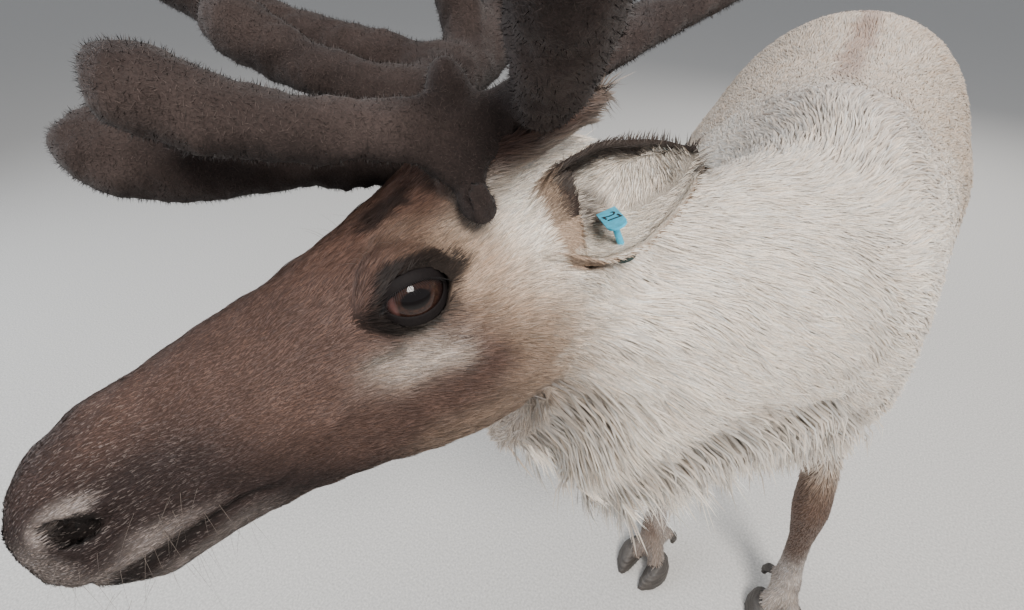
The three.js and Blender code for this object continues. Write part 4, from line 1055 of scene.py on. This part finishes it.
@dataclass
class Coat:
    """The coat: thin, overlapping tufts that follow its lie over the skin."""

    skin: Skin
    per_piece: int = 60000
    patch: float = 0.003
    hairs: tuple = (
        Hair(Region.HEAD, 0.86e6, 0.00056, 0.14, "head_coat", contrast=0.24),
        Hair(Region.EARS, 0.50e6, 0.0006, 0.09, "head_coat"),
        Hair(Region.NECK, 0.30e6, 0.0011, 0.15, "coat", 0.10, 0.22, contrast=0.10),
        Hair(Region.BODY, 0.070e6, 0.0022, 0.14, "coat", 0.10, 0.22, contrast=0.10),
        Hair(Region.LEGS, 0.115e6, 0.0014, 0.16, "leg_coat"),
        Hair(Region.MANE, 0.120e6, 0.0022, 0.55, "coat", 0.9, 0.75, 2.3, 0.10),
    )

    def _weight(self, region: Region, points: Array, normals: Array) -> Array:
        """Give how much a place belongs to a region."""
        head, ear = ANIMAL.on_head(points), ANIMAL.on_ear(points)
        leg, neck = ANIMAL.on_leg(points), ANIMAL.on_neck(points)
        bare = self._bare(points)
        shares = {
            Region.HEAD: head * (1 - ear),
            Region.EARS: ear * (1 - 0.3 * ANIMAL.in_ear(points)),
            Region.NECK: neck * (1 - head) * (1 - ear),
            Region.BODY: (1 - neck) * (1 - leg) * (1 - head) * (1 - ear),
            Region.LEGS: leg,
            Region.MANE: ANIMAL.on_mane(points, normals),
        }
        return shares[region] * bare

    @staticmethod
    def _bare(points: Array) -> Array:
        """Give 0 where the skin is bare: in the opening of the eye, the nostrils and the mouth."""
        local = HEAD.local(points)
        out, ahead, up = np.abs(local[:, 0]), local[:, 1], local[:, 2]
        eye = np.sqrt((ahead / 0.0235) ** 2 + ((up - HEAD.eye_up) / 0.0155) ** 2)
        open_eye = smooth(eye, 1.12, 0.95) * smooth(out, 0.03, 0.04)
        hole = smooth(ANIMAL.from_nostril(local), 0.0085, 0.0060) * smooth(out, 0.02, 0.03)
        mouth = hill((up - HEAD.mouth_up, 0.0018)) * smooth(ahead, 0.12, 0.14)
        near = ANIMAL.on_head(points)
        return 1 - near * np.maximum.reduce([open_eye, hole, mouth])

    def _roots(self, hair: Hair, draw: np.random.Generator) -> tuple[Array, Array]:
        """Spread the roots of one region over the skin."""
        points, quads, normals = self.skin.points, self.skin.quads, self.skin.normals
        corners = points[quads]
        middle = corners.mean(axis=1)
        facing = unit(normals[quads].mean(axis=1))
        expected = face_areas(corners) * hair.density * self._weight(hair.region, middle, facing)
        count = np.floor(expected + draw.random(len(expected))).astype(int)
        chosen = np.repeat(np.arange(len(quads)), count)
        return places_on(corners[chosen], draw), facing[chosen]

    def _unwrap(self, points: Array, normals: Array) -> Array:
        """Lay places out flat: round and along each part, with a tile for each."""
        place = ANIMAL.body(points)
        local = HEAD.local(points)
        tiles = [
            (ANIMAL.on_ear(points) > 0.5, local[:, 0], local[:, 2], local[:, 1] + 0.22, 0.18),
            (ANIMAL.on_head(points) > 0.5, local[:, 0], local[:, 2] + 0.02, local[:, 1] + 0.2, 0.48),
            (ANIMAL.on_leg(points) > 0.5, place[:, 0], place[:, 1], points[:, 2], 0.56),
            (points[:, 2] > -1.0, place[:, 0] + 0.001, points[:, 2] - 0.75, place[:, 1] + 0.6, 1.75),
        ]
        flat = np.zeros((len(points), 2))
        done = np.zeros(len(points), dtype=bool)
        for number, (mask, across, over, along, reach) in enumerate(tiles):
            here = mask & ~done
            if number == 2:
                side = (place[:, 0] > 0.04).astype(float) + 2 * (place[:, 1] > 0.35)
                angle = np.arctan2(normals[:, 1], normals[:, 0])
                turn = (angle / math.tau + 0.5) * 0.24 + side * 0.25
            else:
                turn = np.arctan2(over, across) / math.tau + 0.5
            inner = 0.5 * (ANIMAL.in_ear(points) > 0.5) if number == 0 else 0.0
            u = 0.01 + 0.47 * np.clip(turn, 0, 1) * (0.48 if number == 0 else 1.0) + 0.47 * inner
            v = 0.01 + 0.47 * np.clip(along / reach, 0, 1)
            flat[here, 0] = (u + 0.5 * (number % 2))[here]
            flat[here, 1] = (v + 0.5 * (number // 2))[here]
            done |= here
        return flat

    def _tufts(
        self, hair: Hair, roots: Array, normals: Array, draw: np.random.Generator
    ) -> tuple[Array, Array]:
        """Shape the tufts of one region.

        Args:
            hair: How they are drawn.
            roots: Their roots.
            normals: The skin's direction at the roots.
            draw: The source of chance.

        Returns:
            Rows of five places for each tuft, and a normal for each place.
        """
        count = len(roots)
        lie = ANIMAL.lie(roots, normals)
        side = unit(np.cross(normals, lie))
        stray = draw.normal(0, 1, (3, count, 1))
        length = (ANIMAL.length(roots, normals) * hair.scale * draw.uniform(0.7, 1.25, count))[:, None]
        width = hair.width * draw.uniform(0.7, 1.35, (count, 1))
        inner = ANIMAL.in_ear(roots)[:, None] * (hair.region is Region.EARS)
        length = length * (1 + 0.6 * inner)
        lift = np.maximum(0.03, hair.lift + 0.04 * stray[0] + 0.16 * inner)
        heading = unit(lie + side * 0.13 * stray[1] + normals * lift)
        if hair.clump:
            cell = np.floor((roots + 0.004 * ripples(roots, 0.05, 61)[:, None]) / 0.014).astype(int)
            chance = np.sin(cell @ np.array((12.9898, 78.233, 37.719))) * 43758.5453
            chance = (chance - np.floor(chance))[:, None]
            centre = (cell + 0.5) * 0.014
            pull = (centre - roots) * hair.clump * 0.6
            heading = unit(heading + side * (chance - 0.5) * 0.5 * hair.clump)
        else:
            pull = np.zeros_like(roots)
        fall = np.array((0.0, 0.0, -1.0)) * hair.gravity
        middle = roots + heading * length * 0.5 + fall * length * 0.12 + pull * 0.4
        after = unit(heading - normals * lift * 0.75 + fall)
        tip = middle + after * length * 0.52 + pull * 0.6
        blade = unit(side + normals * 0.25 * stray[2])
        base = roots - normals * 0.0006
        rows = np.stack(
            [base - blade * width * 0.5, base + blade * width * 0.5,
             middle - blade * width * 0.42, middle + blade * width * 0.42, tip], axis=1)
        facing = unit(normals + heading * 0.25 + side * 0.35 * stray[1] * 0.5)
        return rows.reshape(-1, 3), np.repeat(facing, 5, axis=0)

    def _piece(self, name: str, hair: Hair, roots: Array, normals: Array, draw: np.random.Generator) -> None:
        """Make one coat piece."""
        points, facing = self._tufts(hair, roots, normals, draw)
        points[:, 2] = np.maximum(points[:, 2], 0.001)
        count = len(roots)
        first = np.arange(count)[:, None, None] * 5
        faces = (first + np.array([[[0, 3, 1], [0, 2, 3], [2, 4, 3]]])).reshape(-1, 3)
        piece = make_mesh(name, points, faces)
        tone = ANIMAL.tone(roots, normals)
        bright = 1 + hair.contrast * draw.normal(0, 1, (count, 1))
        warm = 1 + 0.035 * draw.normal(0, 1, (count, 1)) * np.array((1.0, 0.0, -1.0))
        frosted = ANIMAL.frost(roots)[:, None] * (draw.random((count, 1)) < 0.16)
        tone = tone * np.clip(bright, 0.55, 1.5) * warm + frosted * np.array(ANIMAL.tones.frosted)
        tone = np.clip(tone, 0.004, 0.95)
        ends = np.array((0.60, 0.60, 0.98, 0.98, 1.28))[None, :, None]
        colours = np.clip(tone[:, None, :] * ends, 0.003, 0.97).reshape(-1, 3)
        colour_points(piece, colours)
        flat = self._unwrap(roots, normals)
        spread = np.array([(-0.5, -0.5), (0.5, -0.5), (-0.5, 0.2), (0.5, 0.2), (0.0, 0.5)]) * self.patch
        corners = np.clip(flat[:, None, :] + spread[None, :, :], 0.0, 1.0).reshape(-1, 2)
        layer = piece.data.uv_layers.new(name="OFBake")
        layer.data.foreach_set("uv", corners[faces.ravel()].astype(np.float32).ravel())
        piece.data.normals_split_custom_set_from_vertices(facing.astype(np.float32))
        dress(piece, self.materials[hair.slot])
        LOG.info("%s: %d tufts", name, count)

    def build(self) -> None:
        """Make every region's tufts, in pieces of a fair size."""
        self.materials = {
            "coat": CoatFinish("body_coat", 0.66, 500.0).build(),
            "head_coat": CoatFinish("face_coat", 0.6, 1100.0, 0.0, 0.12).build(),
            "leg_coat": CoatFinish("limb_coat", 0.62, 800.0).build(),
        }
        for number, hair in enumerate(self.hairs):
            draw = np.random.default_rng(100 + number)
            roots, normals = self._roots(hair, draw)
            pieces = max(1, math.ceil(len(roots) / self.per_piece))
            for index in range(pieces):
                part = slice(index, None, pieces)
                self._piece(f"coat_{hair.region.value}_{index + 1}", hair, roots[part], normals[part], draw)


@dataclass
class Antlers:
    """Both antlers in velvet: a smooth surface with a fuzz of short hairs."""

    voxel: float = 0.0038
    rounds: int = 22
    fuzz_density: float = 0.42e6
    fuzz_length: float = 0.0033

    def build(self) -> None:
        """Make the antlers and their fuzz."""
        names = [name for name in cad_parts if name.startswith("antler_")]
        surface = Surface(*remeshed(names, self.voxel))
        surface.round_off(self.rounds, 0.6)
        normals = surface.normals()
        knobs = 0.0012 * ripples(surface.points, 0.035, 71) + 0.0007 * ripples(surface.points, 0.012, 72)
        surface.points = surface.points + normals * (knobs + 0.0008)[:, None]
        self._reach_head(surface)
        antlers = make_mesh("antlers_in_velvet", surface.points, surface.quads)
        velvet = VelvetFinish().build()
        dress(antlers, velvet)
        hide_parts(*names)
        self._fuzz(surface, velvet)

    @staticmethod
    def _reach_head(surface: Surface) -> None:
        """Sink the foot of each antler a little into the head, so that no gap shows."""
        local = HEAD.local(surface.points)
        foot = smooth(local[:, 2], 0.075, 0.062) * (np.abs(local[:, 0]) < 0.08) * (local[:, 1] > -0.13)
        surface.points = surface.points - (foot * 0.012)[:, None] * HEAD.way(0, 0, 1)

    def _fuzz(self, surface: Surface, velvet: bpy.types.Material) -> None:
        """Set short hairs all over the velvet, each one thin triangle."""
        draw = np.random.default_rng(200)
        corners = surface.points[surface.quads]
        area = face_areas(corners)
        count = np.floor(area * self.fuzz_density + draw.random(len(area))).astype(int)
        chosen = np.repeat(np.arange(len(area)), count)
        roots = places_on(corners[chosen], draw)
        normals = unit(surface.normals()[surface.quads].mean(axis=1))[chosen]
        heading = unit(0.75 * normals + unit(draw.normal(size=(len(roots), 3))))
        side = unit(np.cross(normals, heading))
        length = self.fuzz_length * draw.uniform(0.6, 1.25, (len(roots), 1))
        rows = np.stack([roots + side * 0.00019, roots - side * 0.00019, roots + heading * length], axis=1)
        faces = np.arange(len(roots) * 3).reshape(-1, 3)
        piece = make_mesh("velvet_fuzz", rows.reshape(-1, 3), faces)
        layer = piece.data.uv_layers.new(name="OFBake")
        place = ANIMAL.body(roots)
        left = (place[:, 0] - 0.75 * (place[:, 1] + 0.46) > -0.215).astype(float)
        turn = np.arctan2(normals[:, 2], normals[:, 0]) / math.tau + 0.5
        height = np.clip((roots[:, 2] - 0.9) / 0.62, 0, 1)
        flat = np.stack([0.01 + 0.48 * turn + 0.5 * left, 0.01 + 0.97 * height], axis=1)
        spread = np.array([(-0.5, -0.5), (0.5, -0.5), (0.0, 0.5)]) * 0.003
        layer.data.foreach_set("uv", (flat[:, None, :] + spread[None]).clip(0, 1).astype(np.float32).ravel())
        colours = np.repeat(np.clip(0.040 + 0.016 * draw.normal(size=(len(roots), 1)), 0.02, 0.16), 3, axis=0)
        colour_points(piece, colours * np.array((1.0, 0.74, 0.66)))
        facing = np.repeat(unit(normals + 0.3 * heading), 3, axis=0)
        piece.data.normals_split_custom_set_from_vertices(facing.astype(np.float32))
        dress(piece, CoatFinish("velvet_hairs", 0.8, 600.0, 0.05).build())
        LOG.info("velvet_fuzz: %d hairs", len(roots))


@dataclass
class Hooves:
    """The claws and dewclaws of the four feet, each a smooth horn in place of its node."""

    voxel: float = 0.0026
    rounds: int = 7

    def build(self) -> None:
        """Make each claw and dewclaw."""
        horn = HornFinish().build()
        for name in filter(lambda node: "claw_" in node, list(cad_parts)):
            surface = Surface(*remeshed((name,), self.voxel))
            free = smooth(surface.points[:, 2], 0.0005, 0.003)
            surface.relax(self.rounds, free)
            normals = surface.normals()
            height = surface.points[:, 2]
            rings = np.sin(height * math.tau / 0.0075) * 0.00035 * smooth(height, 0.006, 0.012)
            surface.points = surface.points + normals * rings[:, None]
            surface.points[:, 2] = np.maximum(surface.points[:, 2], 0.0)
            piece = make_mesh(f"horn_{name}", surface.points, surface.quads)
            dress(piece, horn)
            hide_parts(name)


@dataclass
class Eyes:
    """The eyes with their lids: a ball with a raised cornea, wet rims and lashes."""

    rim: float = 0.0010
    half_length: float = 0.0205
    half_height: float = 0.0102
    turn: float = -10.0
    lashes: int = 46

    def build(self) -> None:
        """Make both eyes."""
        rim_finish = PlainFinish("eyelid_rim", (0.008, 0.006, 0.006), 0.7, 700.0, 0.0005, 0.0, 0.12).build()
        lash_finish = PlainFinish("eyelashes", (0.010, 0.008, 0.008), 0.5, 800.0).build()
        for name, side in (("eye_left", 1.0), ("eye_right", -1.0)):
            self._ball(name, side)
            self._rims(name, side, rim_finish)
            self._lashes(name, side, lash_finish)

    def _ball(self, name: str, side: float) -> None:
        """Make one eyeball."""
        centre = HEAD.world(side * HEAD.eye_out, 0, HEAD.eye_up)
        outward, forward = HEAD.way(side, 0.08, 0.05), HEAD.way(0, 1, 0.17)
        forward = forward - outward * (forward @ outward)
        forward /= np.linalg.norm(forward)
        up = np.cross(outward, forward)
        rings, sides = 40, 64
        polar = np.linspace(0, math.pi, rings + 1)[1:-1]
        around = np.linspace(0, math.tau, sides, endpoint=False)
        cornea = 1 + 0.055 * np.exp(-((polar / 0.55) ** 4))
        radius = (HEAD.eye_radius - 0.0006) * cornea / 1.02
        wheel = np.cos(around)[None, :, None] * forward + np.sin(around)[None, :, None] * up
        grid = np.cos(polar)[:, None, None] * outward + np.sin(polar)[:, None, None] * wheel
        grid = grid * radius[:, None, None]
        points = np.concatenate([grid.reshape(-1, 3), [outward * radius[0], -outward * radius[-1]]]) + centre
        faces = []
        last = len(points) - 1
        for i in range(sides):
            j = (i + 1) % sides
            starts = [row * sides for row in range(rings - 2)]
            faces += [(start + i, start + sides + i, start + sides + j) for start in starts]
            faces += [(start + i, start + sides + j, start + j) for start in starts]
            faces += [(last - 1, i, j), (last, (rings - 2) * sides + j, (rings - 2) * sides + i)]
        ball = make_mesh(f"{name}_ball", points, np.array(faces))
        finish = EyeFinish(f"{name}_iris", tuple(centre), tuple(forward), tuple(outward))
        dress(ball, finish.build())
        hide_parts(name)

    def _edge(self, side: float, angle: Array, grow: float, rise: float, taller: float = 1.0) -> Array:
        """Give places along the edge of the lids, on the eyeball's surface."""
        sharp = np.sign(np.sin(angle)) * np.abs(np.sin(angle)) ** 1.2
        y = self.half_length * grow * np.cos(angle)
        z = self.half_height * grow * taller * sharp
        tilt = math.radians(-self.turn)
        ahead = y * math.cos(tilt) - z * math.sin(tilt)
        up = y * math.sin(tilt) + z * math.cos(tilt)
        away = np.sqrt(np.maximum((HEAD.eye_radius + rise) ** 2 - ahead ** 2 - up ** 2, 0.00001))
        rows = zip(side * (HEAD.eye_out + away), ahead, HEAD.eye_up + up)
        return np.stack([HEAD.world(*row) for row in rows])

    def _rims(self, name: str, side: float, finish: bpy.types.Material) -> None:
        """Make the wet edge of the lids as a soft ring round the opening."""
        angles = np.linspace(0, math.tau, 72, endpoint=False)
        inner = self._edge(side, angles, 0.90, 0.0001)
        outer = self._edge(side, angles, 1.17, 0.0018, 1.36)
        outward = HEAD.way(side, 0, 0)
        sections = []
        for turn in np.linspace(0, math.tau, 12, endpoint=False):
            share = 0.5 - 0.5 * math.cos(turn)
            rise = self.rim * math.sin(turn) * (1.0 if math.sin(turn) > 0 else 1.6)
            sections.append(inner + (outer - inner) * share + outward * rise)
        points = np.stack(sections, axis=1).reshape(-1, 3)
        count, sides = len(angles), len(sections)
        i, j = np.meshgrid(np.arange(count), np.arange(sides), indexing="ij")
        steps = ((0, 0), (1, 0), (1, 1), (0, 1))
        faces = np.stack([(i + a) % count * sides + (j + b) % sides for a, b in steps], axis=-1).reshape(-1, 4)
        ring = make_mesh(f"{name}_lid_rim", points, faces if side > 0 else faces[:, ::-1])
        dress(ring, finish)

    def _lashes(self, name: str, side: float, finish: bpy.types.Material) -> None:
        """Set lashes along the upper lid."""
        draw = np.random.default_rng(300)
        angles = np.linspace(0.25, 2.9, self.lashes)
        roots = self._edge(side, angles, 1.0, 0.0008)
        ways = np.array([HEAD.way(side * 0.8, 0.6 * math.cos(angle), -0.35) for angle in angles])
        lengths = 0.008 * draw.uniform(0.7, 1.2, len(angles))
        fine_hairs(f"{name}_lashes", roots, ways, lengths, 0.00024, 0.1, finish, "eye")


def fine_hairs(
    name: str, roots: Array, ways: Array, lengths: Array, width: float, fall: float,
    finish: bpy.types.Material, slot: str,
) -> None:
    """Make single hairs as thin, bending, three-sided spikes.

    Args:
        name: The piece's name.
        roots: Where they grow.
        ways: Which way each one starts.
        lengths: How long each one is.
        width: How thick they are at the root.
        fall: How far they sink, as a share of the length.
        finish: Their material.
        slot: Not used.
    """
    steps = 5
    side = unit(np.cross(ways, np.array((0.3, 0.2, 0.93))))
    over = unit(np.cross(ways, side))
    rows = []
    for step in range(steps):
        share = step / (steps - 1)
        centre = roots + ways * (lengths * share)[:, None]
        centre[:, 2] -= fall * lengths * share ** 2
        size = width * (1 - 0.92 * share)
        for corner in range(3):
            turn = corner * math.tau / 3
            rows.append(centre + (side * math.cos(turn) + over * math.sin(turn)) * size)
    points = np.stack(rows, axis=1)
    ring = [(s * 3 + c, s * 3 + (c + 1) % 3, s * 3 + 3 + (c + 1) % 3, s * 3 + 3 + c)
            for s in range(steps - 1) for c in range(3)]
    faces = (np.arange(len(roots))[:, None, None] * steps * 3 + np.array([ring])).reshape(-1, 4)
    dress(make_mesh(name, points.reshape(-1, 3), faces), finish)


@dataclass
class Whiskers:
    """Long, fine hairs on the muzzle, the chin and over the eyes."""

    count: int = 90

    def build(self) -> None:
        """Make the whiskers."""
        draw = np.random.default_rng(400)
        roots, ways, lengths = [], [], []
        for _ in range(self.count):
            side = draw.choice((-1.0, 1.0))
            low = draw.random() < 0.45
            ahead = draw.uniform(0.15, 0.230)
            up = draw.uniform(-0.078, -0.062) if low else draw.uniform(-0.046, -0.016)
            out = 0.026 if low else 0.045 - 0.5 * max(0.0, ahead - 0.200)
            roots.append(HEAD.world(side * out, ahead, up))
            out_way, ahead_way, up_way = (draw.uniform(*span) for span in ((0.5, 1.0), (-0.2, 0.8), (-0.9, 0.1)))
            ways.append(HEAD.way(side * out_way, ahead_way, up_way))
            lengths.append(draw.uniform(0.012, 0.034))
        for side in (-1.0, 1.0):
            for _ in range(5):
                roots.append(HEAD.world(side * 0.055, draw.uniform(-0.01, 0.02), 0.036))
                ways.append(HEAD.way(side * 0.8, draw.uniform(0.0, 0.5), 0.6))
                lengths.append(draw.uniform(0.02, 0.035))
        finish = PlainFinish("whisker_hair", (0.16, 0.13, 0.11), 0.5, 800.0).build()
        rows = [np.array(row) for row in (roots, ways, lengths)]
        fine_hairs("whiskers", *rows, 0.00012, 0.25, finish, "head_coat")


@dataclass
class Tag:
    """The tag in the left ear: its plate and stud, plain digits on the plate, and the disc behind."""

    digits: str = "27"
    digit_size: float = 0.0135

    def build(self) -> None:
        """Dress the tag's nodes and set the digits."""
        plate = PlainFinish("tag_blue_plastic", (0.045, 0.42, 0.62), 0.38, 220.0, 0.0002, 0.2).build()
        disc = PlainFinish("tag_dark_plastic", (0.035, 0.055, 0.05), 0.5, 200.0).build()
        for name, finish in (("tag_plate", plate), ("tag_disc", disc)):
            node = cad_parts[name]
            node.data.materials.clear()
            node.data.materials.append(finish)
        self._digits()

    @staticmethod
    def _plate_face() -> tuple[Array, Array, Array, Array]:
        """Give the middle, the two directions and the outward direction of the plate's open face."""
        points, faces = node_mesh(("tag_plate",))
        corners = points[faces]
        normals = np.cross(corners[:, 1] - corners[:, 0], corners[:, 2] - corners[:, 0])
        area = np.linalg.norm(normals, axis=1)
        normals = unit(normals)
        _, _, mouth, _ = EARS[0].axes(HEAD)
        flat = [area[normals @ row > 0.995].sum() * (row @ mouth > 0) for row in normals]
        outward = normals[int(np.argmax(flat))]
        open_face = normals @ outward > 0.995
        used = np.unique(faces[open_face])
        rows = points[used]
        level = (rows @ outward).max()
        rows = rows[rows @ outward > level - 0.0003]
        _, _, ways = np.linalg.svd(rows - rows.mean(axis=0))
        long = ways[0] * np.sign(ways[0] @ HEAD.way(0, 0, -1))
        middle = (rows.max(axis=0) + rows.min(axis=0)) / 2
        return middle, long, np.cross(outward, long), outward

    def _digits(self) -> None:
        """Set two generic digits on the face that looks out of the ear."""
        face, right, up, outward = self._plate_face()
        curve = bpy.data.curves.new("tag_digits", "FONT")
        curve.body = self.digits
        curve.size = self.digit_size
        curve.extrude = 0.00015
        curve.align_x = "CENTER"
        curve.align_y = "CENTER"
        columns = np.stack([right, up, outward, face + outward * 0.00012], axis=1)
        matrix = Matrix([*columns.tolist(), (0.0, 0.0, 0.0, 1.0)])
        text = bpy.data.objects.new("tag_digits_shape", curve)
        bpy.context.scene.collection.objects.link(text)
        mesh = bpy.data.meshes.new_from_object(text.evaluated_get(bpy.context.evaluated_depsgraph_get()))
        mesh.transform(matrix)
        bpy.data.objects.remove(text)
        digits = bpy.data.objects.new("tag_digits", mesh)
        bpy.context.scene.collection.objects.link(digits)
        dress(digits, PlainFinish("tag_ink", (0.012, 0.012, 0.014), 0.5, 300.0).build())


@dataclass
class Studio:
    """The floor, the light and the camera."""

    camera_place: tuple = (0.0, -0.70, 1.10)
    heading: float = 32.3
    pitch: float = 36.6
    focal_pixels: float = 490.0
    picture_width: float = 1024.0
    sensor: float = 36.0

    def build(self) -> None:
        """Make the floor, the lights and the camera."""
        self._floor()
        self._light("key", (1.6, -1.9, 3.1), 190.0, 1.2, (1.0, 0.965, 0.92))
        self._light("fill", (-2.6, -1.6, 2.0), 80.0, 2.4, (0.88, 0.94, 1.0))
        self._light("back", (0.6, 3.0, 2.8), 110.0, 2.0, (1.0, 0.98, 0.95))
        world = bpy.data.worlds.new("studio_air")
        world.use_nodes = True
        world.node_tree.nodes["Background"].inputs["Color"].default_value = (0.82, 0.86, 0.92, 1.0)
        world.node_tree.nodes["Background"].inputs["Strength"].default_value = 0.55
        bpy.context.scene.world = world
        self._camera()

    def _floor(self) -> None:
        """Make a plain pale floor."""
        reach = 45.0
        corners = np.array([(-reach, -reach, 0), (reach, -reach, 0), (reach, reach, 0), (-reach, reach, 0)])
        floor = make_mesh("studio_floor", corners, np.array([(0, 1, 2, 3)]), False)
        finish = PlainFinish("pale_floor", (0.50, 0.485, 0.465), 0.85, 220.0, 0.0003)
        floor.data.materials.append(finish.build())

    @staticmethod
    def _light(name: str, place: tuple, power: float, size: float, colour: tuple) -> None:
        """Hang one soft light that looks at the animal."""
        data = bpy.data.lights.new(name, "AREA")
        data.energy = power
        data.size = size
        data.color = colour
        light = bpy.data.objects.new(name, data)
        light.location = place
        light.rotation_euler = (Vector((0.0, 0.0, 0.75)) - Vector(place)).to_track_quat("-Z", "Y").to_euler()
        bpy.context.scene.collection.objects.link(light)

    def _camera(self) -> None:
        """Set the camera where the photo was taken from."""
        data = bpy.data.cameras.new("viewpoint")
        data.sensor_width = self.sensor
        data.lens = self.focal_pixels / self.picture_width * self.sensor
        data.clip_start = 0.01
        camera = bpy.data.objects.new("viewpoint", data)
        camera.location = np.array(self.camera_place) + HEAD.shift
        camera.rotation_euler = (math.radians(90.0 - self.pitch), 0.0, math.radians(self.heading))
        bpy.context.scene.collection.objects.link(camera)
        bpy.context.scene.camera = camera


def main() -> None:
    """Build every sub-assembly in order."""
    logging.basicConfig(level=logging.INFO, format="%(message)s")
    Studio().build()
    skin = Skin()
    skin.dress(skin.build())
    LOG.info("skin: %d corners", len(skin.points))
    Coat(skin).build()
    for maker in (Antlers(), Hooves(), Eyes(), Whiskers(), Tag()):
        maker.build()
        LOG.info("%s done", type(maker).__name__.lower())


if __name__ == "__main__":
    main()
